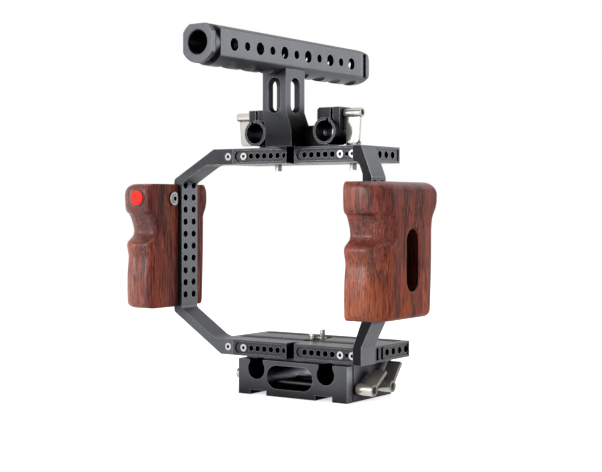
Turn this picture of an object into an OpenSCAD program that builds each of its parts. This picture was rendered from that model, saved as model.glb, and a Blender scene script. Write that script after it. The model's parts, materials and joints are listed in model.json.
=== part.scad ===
// Camera cage: an octagonal aluminium frame around a box-style cinema camera,
// with a tubular top handle, two wooden side grips, two rod clamps above the
// cage and a rod base below it.
// +X is to the right seen from the front, +Y runs from the front (lens side)
// to the back, +Z is up. The origin is the middle of the rod base's flat
// bottom, midway between the rods. The modules are drawn from the front face
// of the rails, and from_front() moves them back to the origin.

/* [Camera bay] */
// Distance from the rod centreline to the inner face of the left bar
bay_left = 100; // [92:1:115]
// Distance from the rod centreline to the inner face of the right bar
bay_right = 63; // [60:1:85]
// Clear height of the camera bay
bay_h = 128.5; // [118:0.5:150]

/* [Side brackets] */
// Thickness of the upright bars
bar_t = 7.5; // [6:0.5:10]
// Depth of the brackets, front to back
bracket_depth = 18.5; // [17:0.5:24]
// Thickness of the slanted bars
slant_t = 6.3; // [5:0.1:9]
// Height of the upper slanted corners
upper_slant_h = 22; // [16:1:28]
// Height of the lower slanted corners
lower_slant_h = 29.5; // [22:0.5:34]
// Width of the upper left slanted corner
upper_left_run = 38; // [30:1:42]
// Width of the lower left slanted corner
lower_left_run = 45; // [34:1:48]
// Width of the right slanted corners
right_run = 8.5; // [5:0.5:12]
// Height of the straight end below the lower right slanted corner
right_foot_h = 12.5; // [11.5:0.5:14]
// Amount by which the right bracket stands in front of the rails
right_proud = 4; // [0:0.5:6]
// Inner fillet radius where arm and slanted bar meet
arm_fillet_r = 14; // [6:1:20]
// Radius of the accessory holes in the upright bars
bar_hole_r = 2.6; // [1.5:0.1:3]
// Pitch of the accessory holes in the upright bars
bar_hole_pitch = 9.2; // [8:0.1:9.4]
// Number of accessory holes in each of the two columns
bar_hole_rows = 10; // [6:1:10]

/* [Plates and rails] */
// Thickness of the top and bottom plates
plate_t = 11.5; // [10:0.5:16]
// Distance from the rails' front face to the back of the top plate
top_plate_depth = 51; // [46:1:70]
// Distance from the rails' front face to the back of the bottom plate
bottom_plate_depth = 65; // [60:1:80]
// Distance from the rod centreline to the plates' left end
plate_left = 66; // [60:1:72]
// Distance from the rod centreline to the plates' right end
plate_right = 60.4; // [58:0.2:61]
// Depth of the front rails
rail_depth = 9; // [7:0.5:12]
// Width of the gap between the left and the right rails
rail_gap = 7; // [5:0.5:10]
// Length of the left rails
rail_len = 48; // [44:0.5:52]
// Width of the raised border round each rail's recess
rail_border = 1.5; // [1:0.1:2.5]
// Depth of each rail's recess
rail_recess = 1.2; // [0.6:0.1:2]
// Radius of the small holes in the rails
rail_hole_r = 2.1; // [1:0.1:2.6]
// Pitch of the small holes in the rails
rail_hole_pitch = 5.9; // [5.3:0.1:6]
// Width of the slot for camera screws in the bottom plate
screw_slot_w = 6.8; // [6.6:0.1:8]
// Length of the slot for camera screws in the bottom plate
screw_slot_len = 34; // [28:1:40]
// Width of each rubber strip on the bottom plate
pad_w = 8; // [5:0.5:10]
// Thickness of the rubber strips
pad_t = 1.4; // [1:0.1:2.5]
// Depth of the grooves that hold the rubber strips
pad_groove = 1; // [0.5:0.1:1]

/* [Wooden grips] */
// Height of each grip
grip_h = 92.5; // [86:0.5:96]
// Thickness of each grip, from the bar's outer face outwards
grip_t = 27; // [24:0.5:32]
// Reach of each grip in front of the bar
grip_front = 33; // [28:1:40]
// Reach of each grip behind the bar's front face
grip_back = 40; // [33:1:46]
// Depth of the finger groove in the grip's front edge
finger_groove = 9; // [4:0.5:10]
// Bulge of the palm swell at the top of the grip's back edge
palm_swell = 6; // [3:0.5:9]
// Bulge of the palm swell on the grip's outer side
palm_side = 1.6; // [0.5:0.1:3]
// Rounding of the grip's long edges
grip_edge_r = 8; // [5:0.5:9]
// Rounding of the grip's outer front edge
grip_nose_r = 17; // [8:0.5:18]
// Width of the strap slot
strap_slot_w = 16; // [10:0.5:17]
// Height of the strap slot
strap_slot_h = 42; // [30:1:46]

/* [Record button and remote jack] */
// Diameter of the record button
button_d = 11.4; // [9:0.1:13]
// Travel of the record button
button_travel = 1.8; // [1:0.1:2]
// Width of the bezel round the record button
bezel_w = 1.1; // [0.8:0.1:1.6]
// Outer diameter of the remote jack's round nut
jack_nut_d = 10.4; // [8:0.1:10.6]
// Bore of the remote jack
jack_bore_d = 3.2; // [2.6:0.1:4.2]

/* [Top handle] */
// Length of the handle
handle_len = 194; // [180:1:210]
// Width of the handle across its flat sides
handle_w = 22.6; // [21.4:0.1:24]
// Height of the handle
handle_h = 26; // [25:0.1:27.6]
// Diameter of the rod bore through the handle
handle_bore_d = 15.3; // [15.1:0.05:15.5]
// Height of the handle's axis above the top plate
handle_rise = 64.3; // [58:0.1:74]
// Distance from the rails' front face to the middle of the handle, forwards
handle_forward = 8; // [4:0.5:10]
// Pitch of the side holes along the handle
side_hole_pitch = 14.4; // [13:0.1:15]
// Diameter of the large side holes
side_hole_large_d = 8.8; // [6:0.1:9.4]
// Diameter of the small side holes
side_hole_small_d = 6.2; // [3:0.1:6.6]
// Radius of the handle's rounded underside
belly_r = 13; // [12.5:0.1:16]
// Drop of the underside below half the handle's height
belly_drop = 1.5; // [0.5:0.1:2]
// Pitch of the finger grooves under the handle
finger_pitch = 21.5; // [20:0.5:23]
// Depth of the finger grooves under the handle
finger_depth = 3.2; // [1.5:0.1:3.6]

/* [Handle post] */
// Width of the post
post_w = 20; // [18:0.5:22]
// Depth of the post, front to back
post_d = 23; // [20:0.5:26]
// Width of the slots through the post
post_slot_w = 10.5; // [7:0.5:11]
// Height of the slots through the post
post_slot_h = 25; // [20:0.5:28]
// Width of the post's foot
foot_w = 22; // [21:0.5:27]
// Height of the post's foot
foot_h = 15; // [13:0.5:17]

/* [Rods and rod clamps] */
// Diameter of the rod bores
rod_d = 15.1; // [15.05:0.05:15.3]
// Distance between the two rods
rod_spacing = 60; // [60:0.5:66]
// Outer diameter of the top clamp rings
ring_d = 18.6; // [18.2:0.1:20]
// Length of the top clamp rings
ring_len = 22; // [18:0.5:26]
// Height of the top rods' axis above the top plate
top_rod_rise = 10.6; // [10.3:0.1:13]
// Depth of the clamp blocks, front to back
clamp_d = 14; // [11:0.5:16]
// Height of the clamp blocks above the rods' axis
clamp_h = 17; // [16:0.5:20]
// Width of the clamping slits
slit_w = 2; // [1.5:0.1:3]

/* [Clamp levers] */
// Diameter of the clamp bolts
bolt_d = 4; // [3:0.1:4.4]
// Diameter of the levers' barrels
barrel_d = 6.4; // [5.6:0.1:7]
// Length of the levers' barrels
barrel_len = 14; // [12:0.5:18]
// Length of the levers' paddles, from the bolt's axis
paddle_len = 21.3; // [16:0.1:21.4]
// Thickness of the paddles
paddle_t = 2.2; // [1.6:0.1:3]

/* [Rod base] */
// Distance from the rod centreline to the base's left face
base_left = 46; // [44:0.5:54]
// Distance from the rod centreline to the base's right face
base_right = 48; // [45:0.5:50]
// Depth of the base, front to back
base_d = 60; // [60:1:66]
// Height of the base
base_h = 25.6; // [24:0.2:29]
// Height of the lower rods' crowns above the top of the base
rod_crown = 0.75; // [0.4:0.05:1.2]
// Width of the window between the rods
window_w = 40; // [34:0.5:41]
// Height of the window between the rods
window_h = 17; // [12:0.5:17]
// Thickness of the spacer between the base and the bottom plate
spacer_t = 2; // [1.5:0.1:4]
// Width of the paddles on the base levers
base_paddle_w = 11; // [8:0.5:12]

/* [Screws] */
// Head diameter of the silver rail screws
rail_screw_head_d = 5.4; // [4.5:0.1:5.6]
// Shank diameter of the rail screws
rail_screw_d = 3; // [2.5:0.1:3.5]
// Diameter of the camera screw
camera_screw_d = 6.35; // [6:0.05:6.4]
// Diameter of the hold-down screws
hold_down_d = 5; // [4:0.1:6.4]
// Height of the camera screw above the bottom plate
camera_screw_rise = 4.5; // [4:0.5:7]
// Diameter of the locating pin
pin_d = 4; // [3:0.1:5]
// Height of the locating pin above the bottom plate
pin_rise = 6.6; // [4:0.1:9]

/* [Hidden] */

ROUND_FN = 64;
SMALL_FN = 32;
ARC_STEPS = 6;

// clearances
eps = 0.02;        // faces of one rigid assembly that meet
fit = 0.05;        // radial running fit of a bolt in its hole
gap = 0.3;         // free space between pieces that move past each other
cut = 1;           // how far a cutter runs past the face that it cuts
shank_fit = 0.1;   // radial clearance of a screw's shank in its hole
head_fit = 0.2;    // clearance round a screw's head in its counterbore
sink = 0.3;        // how far a screw's head lies below the face

// screw heads
HEX_FN = 6;
hex_across = 0.52;
socket_share = 0.6;
slot_w = 1.6;
slot_depth = 1.2;

// corners of the brackets
outer_corner_r = 3;
arm_corner_r = 2;
right_inner_lift = 3;
right_inner_step = 2.4;
right_inner_r = 5;

// heights, from the floor up
bottom_z0 = base_h + spacer_t;
bottom_z1 = bottom_z0 + plate_t;
top_z0 = bottom_z1 + bay_h;
top_z1 = top_z0 + plate_t;
top_rod_z = top_z1 + top_rod_rise;
handle_z = top_z1 + handle_rise;
mid_z = (bottom_z1 + top_z0) / 2;

// widths
left_out = bay_left + bar_t;
right_out = bay_right + bar_t;
rail_in = rail_gap / 2;
left_rail_end = rail_in + rail_len;
right_arm_len = 7;
right_arm_end = right_out - right_run - right_arm_len;
rod_x = rod_spacing / 2;

// depths
right_y0 = -right_proud;
right_y1 = right_y0 + bracket_depth;
handle_y = -handle_forward;
handle_y0 = handle_y - handle_len / 2;
handle_y1 = handle_y + handle_len / 2;
post_y0 = handle_y - post_d / 2;
post_y1 = handle_y + post_d / 2;

// rails and their screws
rail_z = [bottom_z0, top_z0];
rail_screw_dx = 12;
rail_screw_x = rod_x + rail_screw_dx;
arm_screw_dx = 4.6;
left_arm_screw_x = left_rail_end + arm_screw_dx;
right_end_screw_x = right_arm_end - rail_screw_head_d / 2 - 2 * head_fit;
left_rail_holes = 6;
right_rail_holes = 5;
end_hole_r = 1.5;
end_hole_x = (rail_screw_x + right_end_screw_x) / 2;
left_hole_dx = 2.6;
right_hole_dx = 7.9;
left_hole_x = rail_in + left_hole_dx;
right_hole_x = rail_in + right_hole_dx;
rail_screw_head_h = 2.6;
rail_screw_len = 9;
arm_screw_len = 8;
rail_screw_reach = 4;
arm_screw_reach = 2;
arm_bore_depth = rail_screw_head_h + head_fit;

// bottom plate
screw_slot_dy = 10.5;
camera_screw_dy = 9.5;
pin_dy = 12.5;
slot_y0 = rail_depth + screw_slot_dy;
slot_mid_y = slot_y0 + screw_slot_len / 2;
camera_screw_y = slot_y0 + camera_screw_dy;
pin_y = camera_screw_y + pin_dy;
pad_margin = 6;
pad_back = 2;
front_pad_y = slot_y0 + cut;
rear_pad_y = bottom_plate_depth - pad_back - pad_w;
pad_left = plate_left - pad_margin;
pad_right = plate_right - pad_margin;
base_thread = 7;
camera_head_r = 5.5;
camera_head_h = 3;
camera_neck_cut = 0.6;
pocket_rim = 1.2;
pocket_side = 0.7;
camera_pocket_z = bottom_z0 + camera_head_h + pocket_rim;
pocket_w = 2 * (camera_head_r + pocket_side);
pin_collar_h = 2.2;
hold_down_dx = 3;
hold_down_dy = 23;
hold_down_x = rod_x + hold_down_dx;
hold_down_y = rail_depth + hold_down_dy;
hold_down_reach = 4.7;
hold_down_head_r = 5.5;
hold_down_head_h = 4;

// recessed panels in the plates' right ends
panel_depth = 0.8;
panel_rim_h = 1.6;
panel_rim_front = 2;
panel_rim_back = 1.4;
panel_hole_r = 2.6;
panel_hole_depth = 9;
panel_hole_back = 4;
panel_hole_pitch = 8.8;
top_panel_hole_back = 8.6;
panel_slot_pitch = 6.2;
panel_slot_w = 3.2;
panel_slot_depth = 5;
panel_slot_front = 5.4;
panel_slot_rim = 1.2;

// grips
grip_lift = 3.9;
grip_z0 = mid_z - grip_h / 2 + grip_lift;
grip_z1 = grip_z0 + grip_h;
wrap = bar_t / 2;
wrap_gap = 0.4;
grip_slot_y = 9;
grip_slot_rise = 39.5;
grip_slot_z = grip_z0 + grip_slot_rise;
bar_hole_dy = 4.8;
bar_hole_lift = 7.9;
bar_hole_mid_z = mid_z + bar_hole_lift;
bar_hole_z0 = bar_hole_mid_z - (bar_hole_rows - 1) / 2 * bar_hole_pitch;
grip_screw_z = [bar_hole_z0, bar_hole_z0 + (bar_hole_rows - 2) * bar_hole_pitch];
grip_screw_y = bracket_depth / 2 + bar_hole_dy;
grip_screw_len = 14;
grip_screw_r = bar_hole_r - shank_fit;
grip_screw_sink = 2.5;
grip_socket_depth = 2.5;
insert_r = 3.8;
insert_len = 9;
insert_sink = 0.5;
groove_rise = 46.5;
groove_h = 24.5;
groove_low_h = 7;
swell_rise = 79;
groove_z0 = grip_z0 + groove_rise;
groove_z1 = groove_z0 + groove_h;
swell_z = grip_z0 + swell_rise;
grip_end_round = 3.5;
grip_inner_r = 4.5;
grip_heel_extra = 7.5;
grip_heel_r = grip_edge_r + grip_heel_extra;

// record button and remote jack
button_r = button_d / 2;
button_dx = 6.8;
button_drop = 10.5;
button_x = -(left_out + button_dx);
button_z = grip_z1 - button_drop;
button_y0 = -grip_front - 1;
button_stand = 1.4;
button_len = 4.4;
button_fit = 0.08;
bezel_in_r = button_r + button_fit;
bezel_r = bezel_in_r + bezel_w;
bezel_len = 5;
bezel_proud = 0.6;
plunger_r = 1.5;
switch_r = 4;
switch_len = 9;
plunger_len = 1;
plunger_end = button_len - button_stand + plunger_len;
switch_y0 = button_y0 + plunger_end + button_travel + head_fit;
jack_x = -(left_out - wrap);
jack_drop = 11;
jack_y = -jack_nut_d / 2 - wrap_gap;
jack_z = grip_z1 - jack_drop;
jack_r = 3.1;
jack_len = 13;
jack_nut_t = 1.6;
jack_lip = 0.4;
jack_floor = 2;

// handle
front_ring_len = 4.2;
neck_len = 6.2;
end_cap_len = 11;
body_y0 = handle_y0 + front_ring_len + neck_len;
body_y1 = handle_y1 - end_cap_len;
handle_bore_r = handle_bore_d / 2;
crown_r = 17.5;
crown_drop = crown_r - handle_h / 2;
neck_step = 0.3;
neck_wall = 1.6;
neck_r = handle_w / 2 - neck_step;
neck_groove_len = 1.6;
neck_groove_r = handle_bore_d / 2 + neck_wall;
ring_proud = 0.6;
ring_r = handle_h / 2 + ring_proud;
ring_side_proud = 0.7;
ring_top_drop = 1;
ring_side = handle_w / 2 + ring_side_proud;
ring_top = handle_h / 2 - ring_top_drop;
ring_chamfer = 0.7;
cap_edge = 1.5;
cap_slot_y = 2.2;
finger_r = 8;
finger_shift = 4.5;
finger_reach_front = 20;
finger_reach_back = 14;
side_hole_count = 11;
handle_body_h = handle_h + belly_drop;
handle_bottom_z = handle_z - handle_h / 2 - belly_drop;
belly_z = handle_bottom_z + belly_r;
handle_screw_dy = (post_d + post_slot_w) / 4;
handle_screw_r = 2;
handle_screw_head_r = 3.6;
handle_screw_head_h = 1.8;
handle_recess_z = handle_z - handle_bore_d / 2 - handle_screw_head_h;
handle_socket_z = handle_recess_z + handle_screw_head_h / 3;
cap_slot_w = 4.4;
cap_slot_h = 18;
cap_slot_depth = 1.6;

// post
post_saddle = 4.2;
post_bridge = 1.6;
post_top_z = handle_bottom_z + post_saddle;
post_slot_top = handle_bottom_z - post_bridge;
post_slot_side = 0.6;
foot_z1 = top_z1 + foot_h;
foot_setback = 5;
foot_reach = 17;
foot_y0 = post_y0 + foot_setback;
foot_y1 = rail_depth + foot_reach;
flare_h = 9;
flare_back = 4;
undercut_h = 4;
undercut_z = foot_z1 - undercut_h;
post_screw_side = 5;
post_screw_front = 4.5;
post_screw_pitch = 8;
post_screw_x = foot_w / 2 - post_screw_side;
post_screw_y = [rail_depth + post_screw_front,
                rail_depth + post_screw_front + post_screw_pitch];
post_thread = 8;
foot_thread = 5;
post_screw_r = 1.6;
post_screw_head_r = 2.9;
post_screw_head_h = 2.6;
post_screw_len = 15;

// top clamps
ring_y0 = -1.6;
ring_y1 = ring_y0 + ring_len;
clamp_dy = 5.6;
clamp_chamfer = 1.6;
clamp_side = 0.2;
clamp_y0 = ring_y0 + clamp_dy;
clamp_y1 = clamp_y0 + clamp_d;
clamp_half = ring_d / 2 + clamp_side;
clamp_z1 = top_rod_z + clamp_h;
clamp_in = rod_x - clamp_half;
clamp_out = rod_x + clamp_half;
slit_dx = 2.5;
bolt_drop = 4.2;
slit_x = rod_x + slit_dx;
bolt_y = clamp_y0 + clamp_d / 2;
bolt_z = top_rod_z + clamp_h - bolt_drop;
bolt_head_side = 0.5;
bolt_short = 3;
bolt_r = bolt_d / 2;
bolt_hole_r = bolt_r + fit;
barrel_r = barrel_d / 2;
barrel_x0 = clamp_out + gap;
barrel_x1 = barrel_x0 + barrel_len;
paddle_in = 1.2;
paddle_taper = 1.6;
paddle_inner_r = 1.5;
paddle_outer_r = 2.5;
barrel_end = 1.2;
foot_arm_z1 = foot_z1;
foot_arm_z0 = top_z1 + eps;
foot_screw_drop = 0.5;
foot_screw_z = top_rod_z - foot_screw_drop;
foot_screw_r = 1.6;

// rod base
rod_r = rod_d / 2;
low_rod_h = base_h - rod_r + rod_crown;
neck_w = 12;
neck_rise = 4.6;
neck_z = low_rod_h + neck_rise;
window_drop = 4.8;
window_side = 0.8;
window_z = low_rod_h - window_drop;
notch_w = 14.5;
notch_h = 3.6;
notch_out = 1.6;
seam_y = 7;
seam_w = 1.6;
seam_depth = 1.5;
front_bolt_y = 13;
rear_bolt_y = 38;
base_bolt_z = low_rod_h - rod_r - bolt_r - gap;
base_barrel_r = 4.1;
base_collar_len = 0.8;
base_barrel_len = 13.6;
base_barrel_x0 = base_right + base_collar_len;
base_barrel_x1 = base_barrel_x0 + base_barrel_len;
base_barrel_end = 1.5;
base_end_bore_r = 2.6;
base_collar_r = 2.8;
base_paddle_side = 0.4;
base_paddle_len = 20.4;
base_paddle_t = 2.6;
front_paddle_deg = 33;
rear_paddle_deg = 50;
nut_r = 3.7;
nut_len = 5;
side_screw_y = 7;
side_screw_drop = 5;
side_screw_z = low_rod_h - side_screw_drop;
side_screw_r = 2;
side_screw_len = 7;
side_screw_head_r = 3.7;
side_screw_head_h = 5;
side_socket_depth = 2.4;
nut_inset = 1;
spacer_front = 6;
spacer_side = 3;
spacer_back = 2;
base_screw_side = 5.4;
base_screw_front = 20;
base_screw_back = 9;
base_screw_x = base_left - base_screw_side;
base_screw_y = [base_screw_front, base_d - base_screw_back];
base_screw_r = 1.8;
base_screw_head_r = 3.2;
base_screw_head_h = 3;

DARK = [0.10, 0.10, 0.11];
GREY = [0.22, 0.22, 0.24];
STEEL = [0.78, 0.78, 0.76];
WOOD = [0.40, 0.17, 0.12];
RED = [0.85, 0.07, 0.06];
RUBBER = [0.05, 0.05, 0.05];
BRASS = [0.75, 0.60, 0.28];

// ---- helpers ----

// moves a piece drawn from the rails' front face to the model's origin
module from_front() {
    translate([0, -base_d / 2, 0])
        children();
}

// cylinder along +X, its start at the given point
module rod_along_x(at, r, len, fn = ROUND_FN) {
    translate(at)
        rotate([0, 90, 0])
            cylinder(r = r, h = len, $fn = fn);
}

// cylinder along +Y, its start at the given point
module rod_along_y(at, r, len, fn = ROUND_FN) {
    translate(at)
        rotate([-90, 0, 0])
            cylinder(r = r, h = len, $fn = fn);
}

// box from its lowest to its highest corner
module block(low, high) {
    translate(low)
        cube(high - low);
}

// solid of an outline drawn in X and Z, from y0 to y1
module along_y(y0, y1) {
    translate([0, y1, 0])
        rotate([90, 0, 0])
            linear_extrude(height = y1 - y0)
                children();
}

// solid of an outline drawn in Y and Z, from x0 to x1
module along_x(x0, x1) {
    translate([x0, 0, 0])
        rotate([90, 0, 90])
            linear_extrude(height = x1 - x0)
                children();
}

function unit(v) = v / norm(v);
function flat(p) = [p[0], p[1]];

// points of the arc that rounds the corner q between its neighbours p and s
function corner_arc(p, q, s, r) =
    let (
        u = unit(p - q),
        v = unit(s - q),
        half = acos(u * v) / 2,
        centre = q + unit(u + v) * r / sin(half),
        first = q + u * r / tan(half) - centre,
        last = q + v * r / tan(half) - centre,
        a0 = atan2(first[1], first[0]),
        turn = atan2(last[1], last[0]) - a0,
        sweep = turn > 180 ? turn - 360 : turn < -180 ? turn + 360 : turn
    )
    [for (i = [0:ARC_STEPS])
        centre + r * [cos(a0 + sweep * i / ARC_STEPS), sin(a0 + sweep * i / ARC_STEPS)]];

// outline whose corners are [x, y, radius]
function rounded(pts) =
    let (n = len(pts))
    [for (i = [0:n - 1])
        let (q = pts[i])
        each (q[2] == 0
            ? [flat(q)]
            : corner_arc(flat(pts[(i + n - 1) % n]), flat(q), flat(pts[(i + 1) % n]), q[2]))];

// flat obround of a given length along its first axis
module obround(len, w) {
    square([len - w, w], center = true);
    for (s = [-1, 1])
        translate([s * (len - w) / 2, 0])
            circle(r = w / 2, $fn = ROUND_FN);
}

// hex-socket cap screw along +Y: the head's outer face is at y = 0
module socket_screw_y(head_r, head_h, shank_r, shank_len) {
    difference() {
        union() {
            rod_along_y([0, 0, 0], head_r, head_h, SMALL_FN);
            rod_along_y([0, head_h, 0], shank_r, shank_len, SMALL_FN);
        }
        translate([0, -cut, 0])
            rotate([-90, 0, 0])
                cylinder(r = head_r * hex_across, h = head_h * socket_share + cut, $fn = HEX_FN);
    }
}

// hex-socket cap screw along +Z: the head's lower face is at z = 0
module socket_screw_z(head_r, head_h, shank_r, shank_len) {
    rotate([90, 0, 0])
        socket_screw_y(head_r, head_h, shank_r, shank_len);
}

// ---- side brackets ----

// distance along the arm from the bar's outer face to the inner corner
function arm_corner(run, h) =
    let (len = norm([run, h]))
    (slant_t + run / len * (h - plate_t)) * len / h;

// height of the bar's inner corner above or below the slant's outer end
function bar_corner(run, h) =
    let (len = norm([run, h]))
    (h / len * bar_t - slant_t) * len / run;

// C-shaped outline with the bar's outer face at x = 0 and the bay towards +x.
// low holds the points of the lower outer corner, low_in those of the inner one.
module bracket_outline(arm_len, up_run, low, low_in) {
    up_h = upper_slant_h;
    up_x = arm_corner(up_run, up_h);
    polygon(rounded(concat(
        [[arm_len, bottom_z0, 0]],
        low,
        [
            [0, bottom_z0 + lower_slant_h, outer_corner_r],
            [0, top_z1 - up_h, outer_corner_r],
            [up_run, top_z1, arm_corner_r],
            [arm_len, top_z1, 0],
            [arm_len, top_z0, 0],
            [up_x, top_z0, min(arm_fillet_r, arm_len - up_x)],
            [bar_t, top_z1 - up_h + bar_corner(up_run, up_h), outer_corner_r]
        ],
        low_in,
        [[arm_len, bottom_z1, 0]]
    )));
}

// holes in two columns through an upright bar
module bar_holes() {
    for (row = [0:bar_hole_rows - 1])
        for (col = [-1, 1])
            rod_along_x([-cut, bracket_depth / 2 + col * bar_hole_dy,
                         bar_hole_z0 + row * bar_hole_pitch],
                        bar_hole_r, bar_t + 2 * cut, SMALL_FN);
}

module left_bracket() {
    arm_len = left_out - left_rail_end;
    low_x = arm_corner(lower_left_run, lower_slant_h);
    low_z = bottom_z0 + lower_slant_h - bar_corner(lower_left_run, lower_slant_h);
    color(DARK) from_front()
    translate([-left_out, 0, 0])
    difference() {
        along_y(0, bracket_depth)
            bracket_outline(arm_len, upper_left_run,
                            [[lower_left_run, bottom_z0, arm_corner_r]],
                            [[bar_t, low_z, outer_corner_r],
                             [low_x, bottom_z1, min(arm_fillet_r, arm_len - low_x)]]);
        bar_holes();
        for (z = rail_z)
            arm_screw_bore(left_out - left_arm_screw_x, z + plate_t / 2);
    }
}

// counterbored hole through a bracket's arm
module arm_screw_bore(x, z) {
    rod_along_y([x, -cut, z], rail_screw_head_d / 2 + head_fit, cut + arm_bore_depth);
    rod_along_y([x, 0, z], rail_screw_d / 2 + shank_fit, bracket_depth + cut);
}

module right_bracket() {
    color(DARK) from_front()
    translate([right_out, right_y0, 0])
    mirror([1, 0, 0])
    difference() {
        along_y(0, bracket_depth)
            bracket_outline(right_out - right_arm_end, right_run,
                            [[right_run, bottom_z0, 0],
                             [right_run, bottom_z0 + right_foot_h, outer_corner_r]],
                            [[bar_t, bottom_z0 + lower_slant_h + right_inner_lift,
                              outer_corner_r],
                             [bar_t + right_inner_step,
                              bottom_z0 + lower_slant_h - right_inner_lift,
                              right_inner_r]]);
        bar_holes();
    }
}

// ---- plates, rails and pads ----

// outline of a plate from above: its front corners make room for the brackets
module plate_outline(depth) {
    polygon([
        [-left_rail_end, rail_depth],
        [right_arm_end, rail_depth],
        [right_arm_end, right_y1 + eps],
        [plate_right, right_y1 + eps],
        [plate_right, depth],
        [-plate_left, depth],
        [-plate_left, bracket_depth + eps],
        [-left_rail_end, bracket_depth + eps]
    ]);
}

// recessed panel in a plate's right end: upright slots, then a row of holes
module end_panel(y0, y1, z0, slots, hole_back) {
    first = y0 + panel_rim_front + slots * panel_slot_pitch + panel_hole_r;
    count = 1 + floor((y1 - hole_back - first) / panel_hole_pitch);
    hole_y0 = y1 - hole_back - (count - 1) * panel_hole_pitch;
    block([plate_right - panel_depth, y0 + panel_rim_front, z0 + panel_rim_h],
          [plate_right + cut, y1 - panel_rim_back, z0 + plate_t - panel_rim_h]);
    for (i = [0:count - 1])
        rod_along_x([plate_right - panel_hole_depth, hole_y0 + i * panel_hole_pitch,
                     z0 + plate_t / 2],
                    panel_hole_r, panel_hole_depth + cut, SMALL_FN);
    if (slots > 0)
        for (i = [0:slots - 1])
            translate([0, y0 + panel_slot_front + i * panel_slot_pitch, z0])
                block([plate_right - panel_slot_depth, 0, panel_slot_rim],
                      [plate_right + cut, panel_slot_w, plate_t - panel_slot_rim]);
}

// threaded holes in a plate for the screws that hold rails and brackets
module plate_screw_holes(z0) {
    z = z0 + plate_t / 2;
    for (x = [-rail_screw_x, rail_screw_x, right_end_screw_x])
        rod_along_y([x, rail_depth - cut, z], rail_screw_d / 2, rail_screw_len + cut, SMALL_FN);
    rod_along_y([-left_arm_screw_x, bracket_depth - cut, z],
                rail_screw_d / 2, arm_screw_len + cut, SMALL_FN);
}

module top_plate() {
    color(GREY) from_front()
    difference() {
        translate([0, 0, top_z0])
            linear_extrude(height = plate_t)
                plate_outline(top_plate_depth);
        end_panel(right_y1, top_plate_depth, top_z0, 0, top_panel_hole_back);
        plate_screw_holes(top_z0);
        for (x = [-post_screw_x, post_screw_x])
            for (y = post_screw_y)
                translate([x, y, top_z0 - cut]) {
                    cylinder(r = post_screw_r + shank_fit, h = plate_t + 2 * cut,
                             $fn = SMALL_FN);
                    cylinder(r = post_screw_head_r + head_fit,
                             h = cut + post_screw_head_h + 2 * head_fit, $fn = SMALL_FN);
                }
        for (x = [-hold_down_x, hold_down_x])
            translate([x, hold_down_y, top_z0 - cut])
                cylinder(r = hold_down_d / 2 + fit, h = plate_t + 2 * cut, $fn = ROUND_FN);
    }
}

module bottom_plate() {
    color(GREY) from_front()
    difference() {
        translate([0, 0, bottom_z0])
            linear_extrude(height = plate_t)
                plate_outline(bottom_plate_depth);
        end_panel(right_y1, bottom_plate_depth, bottom_z0, 2, panel_hole_back);
        plate_screw_holes(bottom_z0);
        pad_grooves();
        translate([0, slot_mid_y, bottom_z0 - cut])
            linear_extrude(height = plate_t + 2 * cut)
                rotate([0, 0, 90])
                    obround(screw_slot_len, screw_slot_w);
        translate([0, slot_mid_y, bottom_z0 - cut])
            linear_extrude(height = cut + camera_pocket_z - bottom_z0)
                rotate([0, 0, 90])
                    obround(screw_slot_len + pocket_w - screw_slot_w, pocket_w);
        for (x = [-base_screw_x, base_screw_x])
            for (y = base_screw_y)
                translate([x, y, bottom_z0 - cut])
                    cylinder(r = base_screw_r, h = cut + base_thread, $fn = SMALL_FN);
    }
}

// grooves that hold the rubber strips
module pad_grooves() {
    for (y = [front_pad_y, rear_pad_y])
        block([-pad_left, y, bottom_z1 - pad_groove],
              [pad_right, y + pad_w, bottom_z1 + cut]);
}

// rubber strip with an opening round the screw slot where it crosses it
module pad_strip(y0) {
    color(RUBBER) from_front()
    difference() {
        block([-pad_left + eps, y0 + eps, bottom_z1 - pad_groove + eps],
              [pad_right - eps, y0 + pad_w - eps, bottom_z1 - pad_groove + pad_t]);
        translate([0, slot_mid_y, bottom_z1 - pad_groove - cut])
            linear_extrude(height = pad_t + 2 * cut)
                rotate([0, 0, 90])
                    obround(screw_slot_len + 1, screw_slot_w + 1);
    }
}

module front_pad_strip() { pad_strip(front_pad_y); }
module rear_pad_strip() { pad_strip(rear_pad_y); }

// front rail from x0 to x1: a recessed obround panel with small holes
module rail(x0, x1, z0, holes, screws, end_hole) {
    z = z0 + plate_t / 2;
    mid_x = (x0 + x1) / 2;
    color(GREY) from_front()
    difference() {
        along_y(0, rail_depth - eps)
            translate([x0, z0])
                square([x1 - x0, plate_t]);
        along_y(-cut, rail_recess)
            translate([mid_x, z])
                obround(x1 - x0 - 2 * rail_border, plate_t - 2 * rail_border);
        for (x = holes)
            rod_along_y([x, -cut, z], rail_hole_r, rail_depth + 2 * cut, SMALL_FN);
        if (end_hole)
            rod_along_y([end_hole_x, -cut, z], end_hole_r, rail_depth + 2 * cut, SMALL_FN);
        for (x = screws) {
            rod_along_y([x, -cut, z], rail_screw_head_d / 2 + head_fit,
                        cut + rail_screw_head_h + sink);
            rod_along_y([x, 0, z], rail_screw_d / 2 + shank_fit, rail_depth + cut, SMALL_FN);
        }
    }
}

module left_rail(z0) {
    rail(-left_rail_end + eps, -rail_in, z0,
         [for (i = [0:left_rail_holes - 1]) -left_hole_x - i * rail_hole_pitch],
         [-rail_screw_x], false);
}

module right_rail(z0) {
    rail(rail_in, right_arm_end - eps, z0,
         [for (i = [0:right_rail_holes - 1]) right_hole_x + i * rail_hole_pitch],
         [rail_screw_x, right_end_screw_x], true);
}

module upper_left_rail() { left_rail(top_z0); }
module upper_right_rail() { right_rail(top_z0); }
module lower_left_rail() { left_rail(bottom_z0); }
module lower_right_rail() { right_rail(bottom_z0); }

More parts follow.
